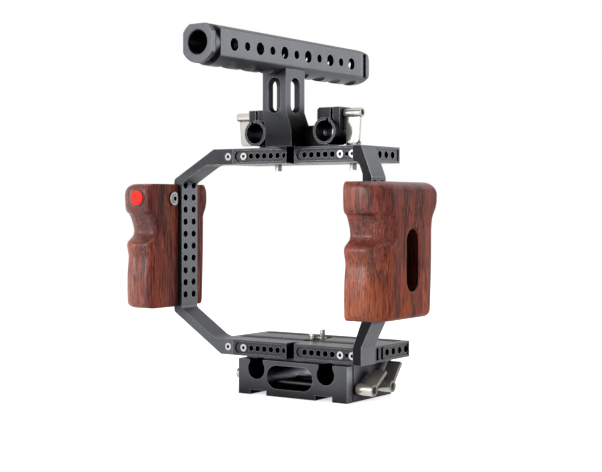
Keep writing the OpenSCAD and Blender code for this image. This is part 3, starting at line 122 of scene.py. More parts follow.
class Mat:
    """A node material, with short calls for the nodes that this scene uses."""

    def __init__(self, name, roughness, metallic=0.0):
        self.material = bpy.data.materials.new(name)
        self.material.use_nodes = True
        self.tree = self.material.node_tree
        self.bsdf = self.tree.nodes["Principled BSDF"]
        self.coords = self.node("ShaderNodeTexCoord").outputs["Object"]
        self.put({"Metallic": metallic, "Roughness": roughness})

    def node(self, kind, inputs=None, **settings):
        return add_node(self.tree, kind, inputs, **settings)

    def put(self, inputs):
        """Sets or links inputs of the material's one shader."""
        fill(self.tree, self.bsdf, inputs)

    def place(self, scale=(1, 1, 1), turn=(0, 0, 0)):
        """Object coordinates, which for every piece are the row frame's metres."""
        n = self.node("ShaderNodeMapping",
                      {"Vector": self.coords, "Scale": scale, "Rotation": turn})
        return n.outputs["Vector"]

    def noise(self, vector, scale, detail=4.0, rough=0.55, distortion=0.0):
        """Cloudy pattern around 0.5. scale is roughly how many of its clouds fit a metre."""
        n = self.node("ShaderNodeTexNoise",
                      {"Vector": vector, "Scale": scale, "Detail": detail,
                       "Roughness": rough, "Distortion": distortion})
        return n.outputs["Fac"]

    def streaks(self, scales, detail=3.0, rough=0.5, distortion=0.0, turn=(0, 0, 0)):
        """Noise with its own scale along each axis, so that it runs in lines."""
        return self.noise(self.place(scales, turn), 1.0, detail, rough, distortion)

    def ramp(self, value, stops):
        """Colour ramp through (position, colour or grey) stops."""
        n = self.node("ShaderNodeValToRGB", {"Fac": value})
        elements = n.color_ramp.elements
        while len(elements) > 1:
            elements.remove(elements[-1])
        elements[0].position, elements[0].color = stops[0][0], rgba(stops[0][1])
        for position, color in stops[1:]:
            elements.new(position).color = rgba(color)
        return n.outputs["Color"]

    def mix(self, fac, a, b, blend="MIX"):
        """Colour mix, whose sockets share their names with those of other data types."""
        n = self.node("ShaderNodeMix", data_type="RGBA", blend_type=blend)
        for name, kind, value in (("Factor", "VALUE", fac), ("A", "RGBA", a), ("B", "RGBA", b)):
            index = next(i for i, s in enumerate(n.inputs)
                         if s.name == name and s.enabled and s.type == kind)
            if kind == "RGBA" and not isinstance(value, bpy.types.NodeSocket):
                value = rgba(value)
            fill(self.tree, n, {index: value})
        return next(s for s in n.outputs if s.type == "RGBA")

    def scaled(self, tone, factor):
        """A tone times a number, which may be above one."""
        return self.mix(1.0, tone, (factor,) * 3, "MULTIPLY")

    def stain(self, tone, pattern, stops, color):
        """Lays a colour over a tone, by how strong the pattern's stops make it."""
        return self.mix(self.ramp(pattern, stops), tone, color)

    def math(self, operation, a, b, clamp=False):
        n = self.node("ShaderNodeMath", {0: a, 1: b}, operation=operation, use_clamp=clamp)
        return n.outputs[0]

    def map(self, value, from_lo=0.0, from_hi=1.0, to_lo=0.0, to_hi=1.0):
        """Maps one range to another, and holds its ends outside."""
        n = self.node("ShaderNodeMapRange",
                      {"Value": value, "From Min": from_lo, "From Max": from_hi,
                       "To Min": to_lo, "To Max": to_hi})
        return n.outputs["Result"]

    def span(self, value, lo, hi):
        """Maps 0..1 to lo..hi."""
        return self.map(value, to_lo=lo, to_hi=hi)

    def bump(self, height, strength, distance, normal=None):
        """A normal tilted by a height, on top of another bump's where one is given."""
        inputs = {"Height": height, "Strength": strength, "Distance": distance}
        if normal is not None:
            inputs["Normal"] = normal
        return self.node("ShaderNodeBump", inputs).outputs["Normal"]

    def along_normal(self, direction):
        """1 where a direction is that of the face's own normal, 0 where it is square to it."""
        normal = self.node("ShaderNodeNewGeometry").outputs["Normal"]
        n = self.node("ShaderNodeVectorMath", {0: direction, 1: normal},
                      operation="DOT_PRODUCT")
        return n.outputs["Value"]

    def edge(self, radius, lo=0.02, hi=0.25):
        """1 on edges and 0 on flats, from how far rounding would turn the normal.

        lo and hi are what the turn takes off the cosine where the edge begins and is full.
        """
        rounded_normal = self.node("ShaderNodeBevel", {"Radius": radius}, samples=4)
        same = self.along_normal(rounded_normal.outputs["Normal"])
        return self.map(self.math("SUBTRACT", 1.0, same, clamp=True), lo, hi)

    def facing(self, axis, lo=0.75, hi=0.92):
        """1 on the faces that look along an axis, 0 on the others, from the angle's cosine."""
        return self.map(self.along_normal(axis), lo, hi)

    def height(self, z0, z1):
        """0 at the height z0 and 1 at z1, in metres of the row frame."""
        xyz = self.node("ShaderNodeSeparateXYZ", {0: self.place()})
        return self.map(xyz.outputs["Z"], z0, z1)

    def painted_hollow_shade(self, tone, reach, depth, closed=0.25, graze=1.0):
        """Paints shade into a tone, and into its shine, in bores, corners and narrow gaps.

        reach is how far across a gap may be, in metres, and closed the openness at which the
        tone has lost its whole depth. graze scales the shine at glancing angles, and below one
        it darkens that shine further as painted shade.
        """
        ao = self.node("ShaderNodeAmbientOcclusion", {"Distance": reach}, samples=6)
        wide_open = 0.88
        shade = self.ramp(ao.outputs["AO"], [(closed, 1.0 - depth), (wide_open, 1.0)])
        self.put({"Specular Tint": self.scaled(shade, graze)})
        return self.mix(1.0, tone, shade, "MULTIPLY")

    def done(self, color, roughness, normal):
        """Links the last results and gives back the material."""
        self.put({"Base Color": color, "Roughness": roughness, "Normal": normal})
        return self.material


# ---------------------------------------------------------------- materials

def anodised(name, base, rough, wear_and_highlight, rim=0.0006, painted_side_light=(), height_dimming=None, share=0.2,
             closed=0.25, graze=1.0):
    """Bead-blasted, anodised aluminium: fine grain, faint handling marks, paler edges that are
    part worn and part painted highlight, and painted shade in its hollows.

    rim is how wide the paler edges are, in metres. sides pairs a direction with a factor for
    the tone of the faces that look along it, which paints light or shade on that side. deep is
    a pair of heights: at the first the tone keeps a share of itself, at the second all of it.
    closed and graze go to hollow().
    """
    m = Mat(name, rough, metallic=1.0)
    here = m.place()
    grain = m.noise(here, scale=5200, detail=2.0, rough=0.6)
    cloud = m.noise(here, scale=38, rough=0.6)
    smear = m.streaks((60, 60, 14), detail=5.0, rough=0.65, distortion=0.6)
    scratch = m.streaks((900, 900, 22), detail=2.0, rough=0.5, turn=(0.3, 0.7, 0.4))
    handling = m.noise(here, scale=210, detail=3.0)
    tone = m.ramp(cloud, [(0.25, times(base, 0.78)), (0.75, times(base, 1.18))])
    tone = m.mix(m.span(grain, 0.0, 0.30), tone, times(base, 1.7))
    marks = m.ramp(scratch, [(0.70, 0.0), (0.76, 1.0)])
    tone = m.mix(m.math("MULTIPLY", marks, 0.10), tone, times(base, 3.2))
    # painted light or painted shade on the faces that look along each given direction
    for axis, factor in painted_side_light:
        tone = m.mix(m.facing(axis), tone, m.scaled(tone, factor))
    # darker by height: painted shade at the post's foot, and a darker top on the left bracket
    if height_dimming:
        tone = m.mix(m.height(*height_dimming), m.scaled(tone, share), tone)
    # painted shade in bores, corners and gaps, on the tone and its shine
    tone = m.painted_hollow_shade(tone, reach=0.022, depth=0.95, closed=closed, graze=graze)
    # paler edges, part wear and part painted highlight
    rubbed = m.math("MULTIPLY", m.edge(rim), m.span(handling, 0.55, 1.0))
    tone = m.mix(m.math("MULTIPLY", rubbed, wear_and_highlight), tone, times(base, 4.5, plus=0.12))
    roughness = m.math("ADD", m.span(cloud, rough - 0.07, rough + 0.07),
                       m.span(smear, -0.05, 0.05))
    return m.done(tone, roughness, m.bump(grain, strength=0.22, distance=0.00004))


def steel(name, base, rough, turned=(2, 900, 900), warm=0.0, rim=0.00045, dark=0.6,
          side=0.9, metallic=1.0):
    """Turned and plated steel: fine lines round the axis, soft stains, painted shade in narrow
    hollows and darker edges painted as shade.

    turned scales the lines, warm takes green and blue out of them, rim and dark are the width
    and strength of the darker edges, and side is the tone's share on the faces that look along
    +X, which paints shade on that side.
    """
    m = Mat(name, rough, metallic)
    stain = m.noise(m.place(), scale=120, rough=0.6)
    fine = m.streaks(turned, rough=0.6)
    tone = m.ramp(stain, [(0.3, times(base, 0.86)), (0.7, base)])
    tint = (base[0], base[1] * (1 - warm), base[2] * (1 - 2 * warm))
    tone = m.mix(m.span(fine, 0.0, 0.35), tone, tint)
    # painted shade in bores and narrow gaps, on the tone and its shine
    tone = m.painted_hollow_shade(tone, reach=0.003, depth=0.8)
    # painted shade on the faces that look along +X
    tone = m.mix(m.facing(RIGHT), tone, times(base, side))
    # darker edges: painted shade that outlines the piece
    tone = m.mix(m.math("MULTIPLY", m.edge(rim), dark), tone, times(base, 0.20))
    roughness = m.math("ADD", m.span(stain, rough - 0.05, rough + 0.08),
                       m.span(fine, -0.04, 0.04))
    return m.done(tone, roughness, m.bump(fine, strength=0.18, distance=0.00002))


def wavering(m, flow, amount):
    """Coordinates that wander in X and Y by up to an amount, as growth rings do."""
    wander = m.node("ShaderNodeCombineXYZ",
                    {0: m.streaks((14, 14, 5)),
                     1: m.streaks((11, 11, 4), turn=(0.4, 0, 0.2))})
    push = m.node("ShaderNodeVectorMath", {0: wander.outputs[0], "Scale": amount},
                  operation="SCALE")
    moved = m.node("ShaderNodeVectorMath", {0: flow, 1: push.outputs[0]}, operation="ADD")
    return moved.outputs[0]


def rosewood(name, shade=1.0, sheen=0.34):
    """Oiled reddish hardwood, its grain along Z: bands, streaks, open pores and small flames.

    Its sheen is on the front and on the top, which hands polish.
    """
    # shade scales every colour down; the slot's copy uses it for painted shade
    def c(r, g, b):
        return (r * shade, g * shade, b * shade)

    m = Mat(name, roughness=0.32)
    handled = m.math("MAXIMUM", m.facing(FRONT, lo=0.3, hi=0.95), m.facing(UP, lo=0.3, hi=0.8))
    m.put({"Specular IOR Level": m.span(handled, 0.03, sheen)})
    grain = wavering(m, m.place((1, 1, 0.10)), amount=0.006)
    bands = m.noise(grain, scale=120, rough=0.62, distortion=0.5)
    tone = m.ramp(bands, [
        (0.24, c(0.040, 0.010, 0.009)),
        (0.40, c(0.105, 0.022, 0.017)),
        (0.52, c(0.225, 0.045, 0.028)),
        (0.66, c(0.320, 0.068, 0.038)),
        (0.84, c(0.420, 0.108, 0.054)),
    ])
    # orange flames, plum shadows and a paler heart, in broad upright patches
    flame = m.streaks((26, 26, 9), detail=4.0, rough=0.6, distortion=0.3, turn=(0.1, 0, 0.5))
    tone = m.stain(tone, flame, [(0.50, 0.0), (0.66, 0.70)], c(0.42, 0.090, 0.016))
    plum = m.streaks((17, 17, 14), rough=0.55, turn=(0.2, 0.3, 0))
    tone = m.stain(tone, plum, [(0.34, 0.62), (0.54, 0.0)], c(0.050, 0.015, 0.020))
    heart = m.streaks((34, 34, 3.2), turn=(0.7, 0.1, 0))
    tone = m.stain(tone, heart, [(0.55, 0.0), (0.72, 0.35)], c(0.40, 0.150, 0.115))
    # fine dark streaks, open pores and pale fibres between them
    streak = m.streaks((1150, 1150, 60), rough=0.6)
    tone = m.stain(tone, streak, [(0.50, 0.0), (0.62, 0.85)], c(0.030, 0.007, 0.007))
    pores = m.streaks((2400, 2400, 150), detail=1.0)
    open_pore = m.ramp(pores, [(0.60, 0.0), (0.68, 1.0)])
    tone = m.mix(m.math("MULTIPLY", open_pore, 0.85), tone, c(0.014, 0.004, 0.004))
    pale = m.streaks((1700, 1700, 60), detail=1.0, turn=(0, 0, 0.6))
    tone = m.stain(tone, pale, [(0.60, 0.0), (0.72, 0.42)], c(0.50, 0.20, 0.13))
    rubbed = m.math("MULTIPLY", m.edge(0.0022, lo=0.01, hi=0.22), 0.22)
    tone = m.mix(rubbed, tone, c(0.42, 0.16, 0.10))
    roughness = m.math("ADD", m.span(bands, 0.24, 0.38), m.math("MULTIPLY", open_pore, 0.25))
    pitted = m.bump(m.math("SUBTRACT", 1.0, open_pore), strength=0.35, distance=0.00010)
    return m.done(tone, roughness, m.bump(streak, strength=0.14, distance=0.00008,
                                          normal=pitted))


def plastic(name, base, rough, gloss=False):
    """Moulded plastic, lighter at its edges: matt and grained, or glossy and smooth."""
    m = Mat(name, rough)
    here = m.place()
    fine = m.noise(here, scale=3600, detail=2.0, rough=0.6)
    cloud = m.noise(here, scale=90, detail=3.0)
    tone = m.ramp(cloud, [(0.3, times(base, 0.86)), (0.7, times(base, 1.08))])
    tone = m.mix(m.math("MULTIPLY", m.edge(0.0004), 0.3), tone, times(base, 1.5, plus=0.03))
    if gloss:
        m.put({"Specular IOR Level": 0.15, "Coat Weight": 0.12, "Coat Roughness": 0.10})
    return m.done(tone, m.span(cloud, rough - 0.04, rough + 0.05),
                  m.bump(fine, strength=0.05 if gloss else 0.3, distance=0.00003))


def rubber_sheet(name):
    """Matt rubber with a fine rib pressed into it."""
    m = Mat(name, roughness=0.72)
    here = m.place()
    fine = m.noise(here, scale=1500, detail=3.0, rough=0.6)
    cloud = m.noise(here, scale=60, detail=3.0)
    ribs = m.node("ShaderNodeTexWave", {"Vector": here, "Scale": 160, "Distortion": 0.3},
                  wave_type="BANDS", bands_direction="DIAGONAL")
    tone = m.ramp(cloud, [(0.3, (0.010, 0.010, 0.011)), (0.7, (0.022, 0.022, 0.023))])
    tone = m.stain(tone, fine, [(0.62, 0.0), (0.75, 0.35)], (0.09, 0.088, 0.085))
    grained = m.bump(fine, strength=0.4, distance=0.00006)
    return m.done(tone, m.span(cloud, 0.62, 0.80),
                  m.bump(ribs.outputs["Fac"], strength=0.3, distance=0.00012, normal=grained))


MID_GREY = (0.064, 0.066, 0.072)        # the grey finish's tone, and the left bracket's


def make_materials():
    """One finish for each of the record's slots, and those that single nodes have."""
    return {
        "black_aluminium": anodised(
            "anodised_black", (0.038, 0.039, 0.043), rough=0.38, wear_and_highlight=0.95),
        "grey_aluminium": anodised("anodised_grey", MID_GREY, rough=0.42, wear_and_highlight=0.55),
        "plate_aluminium": anodised(
            "anodised_plate", (0.044, 0.045, 0.049), rough=0.40, wear_and_highlight=0.8),
        # darker towards its bottom, to a fifth below 0.186 m: painted shade at the post's foot
        "post_aluminium": anodised(
            "anodised_post", (0.047, 0.048, 0.053), rough=0.42, wear_and_highlight=0.55,
            height_dimming=(0.186, 0.209)),
        # a lit copy of the black finish, twice as light, with its front faces painted in shade
        "bracket_aluminium": anodised(
            "anodised_bracket", (0.080, 0.082, 0.090), rough=0.34, wear_and_highlight=0.8,
            painted_side_light=((FRONT, 0.13),)),
        # its right faces painted lighter, as light; its shine at glancing angles and its hollows
        # painted darker, as shade
        "base_aluminium": anodised(
            "anodised_base", (0.052, 0.053, 0.058), rough=0.38, wear_and_highlight=0.85,
            painted_side_light=((RIGHT, 6.5),), closed=0.45, graze=0.2),
        "left_bracket_aluminium": anodised(
            "anodised_left", MID_GREY, rough=0.42, wear_and_highlight=0.55, height_dimming=(0.166, 0.150), share=0.42),
        # paler edges made wider, part wear and part painted highlight on the rims
        "clamp_aluminium": anodised(
            "anodised_clamp", (0.022, 0.0225, 0.025), rough=0.36, wear_and_highlight=0.9, rim=0.0011,
            closed=0.05),
        # its +X faces painted darker, as shade
        "bright_steel": steel("steel_plated", (0.50, 0.50, 0.49), rough=0.22, side=0.16),
        "dark_steel": steel("steel_blackened", (0.05, 0.05, 0.052), rough=0.38),
        # wide, strongly darkened edges and darker +X faces: painted shade that outlines the levers
        "polished_steel": steel(
            "steel_polished", (0.62, 0.60, 0.56), rough=0.11, turned=(700, 700, 30), warm=0.02,
            rim=0.0016, dark=0.95, side=0.30, metallic=0.72),
        "brass": steel("brass_turned", (0.75, 0.56, 0.25), rough=0.28),
        "wood": rosewood("rosewood_oiled"),
        # the strap slot's walls: the same wood darkened, painted shade
        "wood_slot_shade": rosewood("rosewood_slot_shade", shade=0.16, sheen=0.05),
        "red_plastic": plastic("plastic_red", (0.88, 0.018, 0.008), rough=0.34, gloss=True),
        "black_plastic": plastic("plastic_black", (0.022, 0.022, 0.023), rough=0.5),
        "rubber": rubber_sheet("rubber_black"),
    }


MATS = make_materials()


# ---------------------------------------------------------------- mesh helpers

def mesh_object(name, bm, material, body, replaced, smooth_below):
    """A visible piece of its own, shaded smooth over edges below an angle in degrees."""
    bmesh.ops.recalc_face_normals(bm, faces=bm.faces)
    for f in bm.faces:
        f.smooth = True
    for e in bm.edges:
        e.smooth = len(e.link_faces) == 2 and e.calc_face_angle(0) < math.radians(smooth_below)
    me = bpy.data.meshes.new(name)
    bm.to_mesh(me)
    bm.free()
    o = add_object(name, me)
    me.materials.append(material)
    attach(o, body)
    if replaced:
        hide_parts(*replaced)
    return o


def loft(bm, rings):
    """Faces between closed rings of points, all with the same count, and over both ends."""
    made = [[bm.verts.new(p) for p in ring] for ring in rings]
    for a, b in zip(made, made[1:]):
        n = len(a)
        for i in range(n):
            bm.faces.new((a[i], a[(i + 1) % n], b[(i + 1) % n], b[i]))
    bm.faces.new(list(reversed(made[0])))
    bm.faces.new(made[-1])


def pchip(x, xs, ys):
    """Smooth curve through points that doesn't overshoot between them."""
    xs, ys = np.array(xs, float), np.array(ys, float)
    h, d = np.diff(xs), np.diff(ys) / np.diff(xs)
    m = np.zeros(len(xs))
    m[0], m[-1] = d[0], d[-1]
    for i in range(1, len(xs) - 1):
        if d[i - 1] * d[i] > 0:
            w1, w2 = 2 * h[i] + h[i - 1], h[i] + 2 * h[i - 1]
            m[i] = (w1 + w2) / (w1 / d[i - 1] + w2 / d[i])
    i = np.clip(np.searchsorted(xs, x) - 1, 0, len(h) - 1)
    t = (x - xs[i]) / h[i]
    return ((2 * t**3 - 3 * t**2 + 1) * ys[i] + (t**3 - 2 * t**2 + t) * h[i] * m[i]
            + (3 * t**2 - 2 * t**3) * ys[i + 1] + (t**3 - t**2) * h[i] * m[i + 1])


def corner_arc(p, q, s, r, steps):
    """Points of the arc of radius r that rounds the corner q between p and s."""
    p, q, s = np.array(p[:2], float), np.array(q[:2], float), np.array(s[:2], float)
    u, v = (p - q) / np.linalg.norm(p - q), (s - q) / np.linalg.norm(s - q)
    half = math.acos(np.clip(u @ v, -1, 1)) / 2
    centre = q + (u + v) / np.linalg.norm(u + v) * r / math.sin(half)
    first, last = q + u * r / math.tan(half) - centre, q + v * r / math.tan(half) - centre
    a0 = math.atan2(first[1], first[0])
    turn = math.atan2(last[1], last[0]) - a0
    turn = (turn + math.pi) % (2 * math.pi) - math.pi
    angles = [a0 + turn * i / steps for i in range(steps + 1)]
    return [tuple(centre + r * np.array([math.cos(a), math.sin(a)])) for a in angles]


def rounded(pts, steps):
    """Outline whose corners are (x, y, radius), in millimetres."""
    n, out = len(pts), []
    for i, q in enumerate(pts):
        out += corner_arc(pts[i - 1], q, pts[(i + 1) % n], q[2], steps)
    return out


CUT_OVER = 0.6              # how far a round cutter reaches past both of its ends
CUT_SIDES = 40


def round_cutter(start, axis, radius, length):
    """Cylinder for cutting a round hole."""
    a = Vector(axis).normalized()
    side = a.orthogonal().normalized()
    up = a.cross(side)
    turns = [2 * math.pi * k / CUT_SIDES for k in range(CUT_SIDES)]
    bm = bmesh.new()
    loft(bm, [[(Vector(start) + a * h + (side * math.cos(t) + up * math.sin(t)) * radius) * MM
               for t in turns] for h in (-CUT_OVER, length + CUT_OVER)])
    return bm


def cut_with(bm, cutter):
    """bm minus cutter, both in metres; both are freed and a new bmesh comes back."""
    made = []
    for b in (bm, cutter):
        bmesh.ops.recalc_face_normals(b, faces=b.faces)
        me = bpy.data.meshes.new("tmp")
        b.to_mesh(me)
        b.free()
        made.append(add_object("tmp", me))
    mod = made[0].modifiers.new("cut", "BOOLEAN")
    mod.operation, mod.solver, mod.object = "DIFFERENCE", "EXACT", made[1]
    dg = bpy.context.evaluated_depsgraph_get()
    dg.update()
    out = bmesh.new()
    out.from_mesh(made[0].evaluated_get(dg).to_mesh())
    for o in made:
        me = o.data
        bpy.data.objects.remove(o)
        bpy.data.meshes.remove(me)
    bmesh.ops.remove_doubles(out, verts=out.verts, dist=0.000004)
    return out


# ---------------------------------------------------------------- looks of the CAD nodes

LOOK = {
    "top_plate": "plate_aluminium",
    "bottom_plate": "plate_aluminium",
    "left_bracket": "left_bracket_aluminium",
    "right_bracket": "bracket_aluminium",
    "base_block": "base_aluminium",
    "handle_post": "post_aluminium",
    "left_rod_clamp": "clamp_aluminium",
    "right_rod_clamp": "clamp_aluminium",
    "front_base_bolt": "dark_steel",
    "rear_base_bolt": "dark_steel",
}
FLAT_BELOW, SMOOTH_BELOW, BREAK_ABOVE = 0.6, 34, 38     # angles at an edge, in degrees
BREAK = 0.3
WIDE_BREAK = {"handle_front_ring": 1.1, "handle_end_cap": 0.9}
# merged, the flat faces of these two would be cut into triangles that overlap
UNMERGED_FLATS = ("left_bracket", "bottom_plate")


def shade_by_angle():
    """Node group that shades by edge angle, after the bevel of a CAD node."""
    g = bpy.data.node_groups.new("shade_by_angle", "GeometryNodeTree")
    for way in ("INPUT", "OUTPUT"):
        g.interface.new_socket("Geometry", in_out=way, socket_type="NodeSocketGeometry")
    start = add_node(g, "NodeGroupInput")
    angle = add_node(g, "GeometryNodeInputMeshEdgeAngle")
    small = add_node(g, "FunctionNodeCompare",
                     {0: angle.outputs["Unsigned Angle"], 1: math.radians(SMOOTH_BELOW)},
                     data_type="FLOAT", operation="LESS_THAN")
    faces = add_node(g, "GeometryNodeSetShadeSmooth",
                     {"Geometry": start.outputs[0], "Shade Smooth": True}, domain="FACE")
    edges = add_node(g, "GeometryNodeSetShadeSmooth",
                     {"Geometry": faces.outputs[0], "Shade Smooth": small.outputs[0]},
                     domain="EDGE")
    add_node(g, "NodeGroupOutput", {0: edges.outputs[0]})
    return g


def soften(o, group, width, merge_flats):
    """Breaks the sharp edges of a CAD node as machining does, with modifiers alone."""
    weld = o.modifiers.new("weld", "WELD")
    weld.merge_threshold = 0.000002
    if merge_flats:
        flat = o.modifiers.new("flat", "DECIMATE")
        flat.decimate_type = "DISSOLVE"
        flat.angle_limit = math.radians(FLAT_BELOW)
    bev = o.modifiers.new("bevel", "BEVEL")
    bev.width = width
    bev.segments = 2
    bev.limit_method = "ANGLE"
    bev.angle_limit = math.radians(BREAK_ABOVE)
    bev.miter_outer = "MITER_ARC"
    bev.use_clamp_overlap = True
    shade = o.modifiers.new("shade", "NODES")
    shade.node_group = group
    flat_faces = o.modifiers.new("flat_faces", "WEIGHTED_NORMAL")
    flat_faces.mode = "FACE_AREA"
    flat_faces.weight = 100
    flat_faces.keep_sharp = True


def dress_nodes():
    """Gives every CAD node its finish and its broken edges."""
    slot_of = {s["node"]: s["material_slot"] for s in frame["record"]["subparts"]}
    group = shade_by_angle()
    for name, o in NODES.items():
        o.data.materials.clear()
        o.data.materials.append(MATS[LOOK.get(name, slot_of[name])])
        soften(o, group, WIDE_BREAK.get(name, BREAK) * MM, name not in UNMERGED_FLATS)


# ---------------------------------------------------------------- wooden grips

# each grip's outward direction along X, and its bar's front outer edge
GRIPS = {"left_grip": (-1, -107.52, -30.0), "right_grip": (1, 70.52, -34.0)}
GRIP_Z0, GRIP_Z1 = 61.0, 153.5
GRIP_WRAP = 3.75            # how far a grip reaches inward past the bar's outer face
GRIP_TOP_R, GRIP_LOW_R, GRIP_BACK_R = 5.2, 4.4, 9.0
SLOT_W, SLOT_H, SLOT_Y, SLOT_Z = 16.0, 42.0, 9.0, 100.5
SLOT_DEPTH = 27.3           # the grip's thickness at the strap slot
SLOT_FLARE = 1.5

# height and place of the front, back and outer side, from the bar's front outer edge
GRIP_FRONT = (
    [61, 66, 74, 86, 92, 98.5, 103.5, 107.4, 109.8, 111.8, 114.6, 117.6, 121.5, 126, 129.6,
     131.2, 132.4, 134, 139, 145, 153.5],
    [-33, -33.1, -33.2, -32.9, -32.2, -31.5, -32.5, -33.3, -32.6, -30.2, -26.6, -25.4, -26.0,
     -27.6, -29.3, -30.5, -32.5, -33.5, -34.1, -34.2, -33.9])
GRIP_BACK = (
    [61, 75, 100, 122, 128, 131.5, 136, 141, 148, 153.5],
    [38.6, 39.2, 40, 40.2, 40.6, 42.0, 44.8, 46.0, 46.0, 45.6])
GRIP_SIDE = (
    [61, 75, 100, 116, 124, 131, 137, 142, 148, 153.5],
    [26.9, 27.1, 27.3, 27.3, 27.5, 27.9, 28.3, 28.5, 28.6, 28.4])
CORNER_STEPS, WALL_STEPS = 14, 10
LOW_STEPS, MIDDLE_STEPS, TOP_STEPS = 10, 91, 11
SWELL_Z, SWELL_HEIGHT = 124, 14     # the heel of the palm swell, whose corner is rounder
HEEL_R, HEEL_GROWTH = 15.5, 2.5

# the record button's bezel and the switch behind it, and the remote jack
BUTTON_AT = (-114.3, -64.6, 143.0)
BEZEL_R, BEZEL_DEPTH = 6.9, 5.6
SWITCH_R = 4.15
JACK_AT = (-103.45, -35.6, 142.5)
JACK_R, JACK_DEPTH = 3.15, 12.0


def grip_levels():
    """Heights of a grip's rings, denser over the rounding of both ends."""
    low = [GRIP_Z0 + GRIP_BACK_R * (1 - math.cos(math.pi / 2 * i / LOW_STEPS))
           for i in range(LOW_STEPS)]
    high = [GRIP_Z1 - GRIP_BACK_R * (1 - math.sin(math.pi / 2 * i / TOP_STEPS))
            for i in range(TOP_STEPS + 1)]
    middle = np.linspace(GRIP_Z0 + GRIP_BACK_R, GRIP_Z1 - GRIP_BACK_R, MIDDLE_STEPS + 1)
    return low + list(middle)[1:-1] + high


def end_pull(z, low_r, high_r):
    """How far an end's rounding draws a wall in at a height."""
    if z < GRIP_Z0 + low_r:
        return low_r - math.sqrt(max(0, low_r**2 - (GRIP_Z0 + low_r - z)**2))
    if z > GRIP_Z1 - high_r:
        return high_r - math.sqrt(max(0, high_r**2 - (z - GRIP_Z1 + high_r)**2))
    return 0.0


def grip_ring(z, flip, at_x, at_y):
    """A grip's outline at a height. Its corners grow smaller where the ends draw it in."""
    front_in = end_pull(z, GRIP_LOW_R, GRIP_TOP_R)
    back_in = end_pull(z, GRIP_LOW_R, GRIP_BACK_R)
    front = pchip(z, *GRIP_FRONT) + front_in
    back = pchip(z, *GRIP_BACK) - back_in
    outer = pchip(z, *GRIP_SIDE) - 0.2 * front_in - 0.8 * back_in
    heel = HEEL_R + HEEL_GROWTH * min(1.0, max(0.0, (z - SWELL_Z) / SWELL_HEIGHT))
    # place of each corner, its radius, what the ends take off that, and its least radius
    corners = (
        (-GRIP_WRAP, front, 5.4, 0.5 * front_in, 2.0),
        (outer, front, 17.0, 0.8 * front_in, 6.0),
        (outer, back, 8.6, 0.6 * back_in, 2.5),
        (-GRIP_WRAP, back, heel, 0.9 * back_in, 6.0),
    )
    pts = rounded([(x, y, max(least, r - less)) for x, y, r, less, least in corners],
                  CORNER_STEPS)
    ring = []
    for i, p in enumerate(pts):
        q = pts[(i + 1) % len(pts)]
        n = WALL_STEPS if (i + 1) % (CORNER_STEPS + 1) == 0 else 1
        ring += [(p[0] + (q[0] - p[0]) * k / n, p[1] + (q[1] - p[1]) * k / n)
                 for k in range(n)]
    return [((at_x + flip * x) * MM, (at_y + y) * MM, z * MM) for x, y in ring]


def bar_seat(flip, at_x, at_y):
    """Block that cuts the bar's seat out of a grip, past its inner side, back and ends."""
    inward, front_gap, backward, past_end = 6, 0.4, 60, 5
    bm = bmesh.new()
    low = (min(at_x - flip * inward, at_x), at_y - front_gap, GRIP_Z0 - past_end)
    high = (max(at_x - flip * inward, at_x), at_y + backward, GRIP_Z1 + past_end)
    for v in bmesh.ops.create_cube(bm, size=1)["verts"]:
        v.co = Vector([(a if c < 0 else b) * MM for c, a, b in zip(v.co, low, high)])
    return bm


def slot_cutter(flip, at_x, at_y):
    """Obround through a grip, flared at the outer face so that the slot's rim is rounded."""
    arc_steps, flare_steps, inward, outward = 18, 7, 6, 4
    bend = SLOT_DEPTH - SLOT_FLARE
    turns = [math.pi / 2 * i / flare_steps for i in range(1, flare_steps + 1)]
    rows = [(-inward, 0.0), (bend, 0.0)]
    rows += [(bend + SLOT_FLARE * math.sin(t), SLOT_FLARE * (1 - math.cos(t))) for t in turns]
    rows += [(SLOT_DEPTH + outward, SLOT_FLARE)]
    half = (SLOT_H - SLOT_W) / 2
    rings = []
    for x, grow in rows:
        r = SLOT_W / 2 + grow
        ring = []
        for end, middle in enumerate((half, -half)):
            for k in range(arc_steps + 1):
                a = math.pi * (end + k / arc_steps)
                ring.append((r * math.cos(a), middle + r * math.sin(a)))
        rings.append([((at_x + flip * x) * MM, (at_y + SLOT_Y + y) * MM, (SLOT_Z + z) * MM)
                      for y, z in ring])
    bm = bmesh.new()
    loft(bm, rings)
    return bm


def shade_slot_walls(bm, flip, at_x, at_y):
    """Gives the slot's walls, inside its rounded rim, the material in the second slot: the wood
    darkened as painted shade.
    """
    slack, rim, outward = 0.3, 0.8, 0.7
    for f in bm.faces:
        c = f.calc_center_median() / MM
        x, y, z = flip * (c.x - at_x), c.y - at_y - SLOT_Y, c.z - SLOT_Z
        z = max(0.0, abs(z) - (SLOT_H - SLOT_W) / 2)
        in_slot = math.hypot(y, z) < SLOT_W / 2 + slack and x < SLOT_DEPTH - rim
        if in_slot and abs(f.normal.x) < outward:
            f.material_index = 1


def control_cutters():
    """What the left grip has cut out for its bezel, its switch and its jack."""
    clearance = 0.3
    switch_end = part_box("record_switch")[1][1] / MM + clearance
    yield round_cutter(BUTTON_AT, (0, 1, 0), BEZEL_R, BEZEL_DEPTH)
    yield round_cutter(BUTTON_AT, (0, 1, 0), SWITCH_R, switch_end - BUTTON_AT[1] - CUT_OVER)
    yield round_cutter(JACK_AT, (-1, 0, 0), JACK_R, JACK_DEPTH)


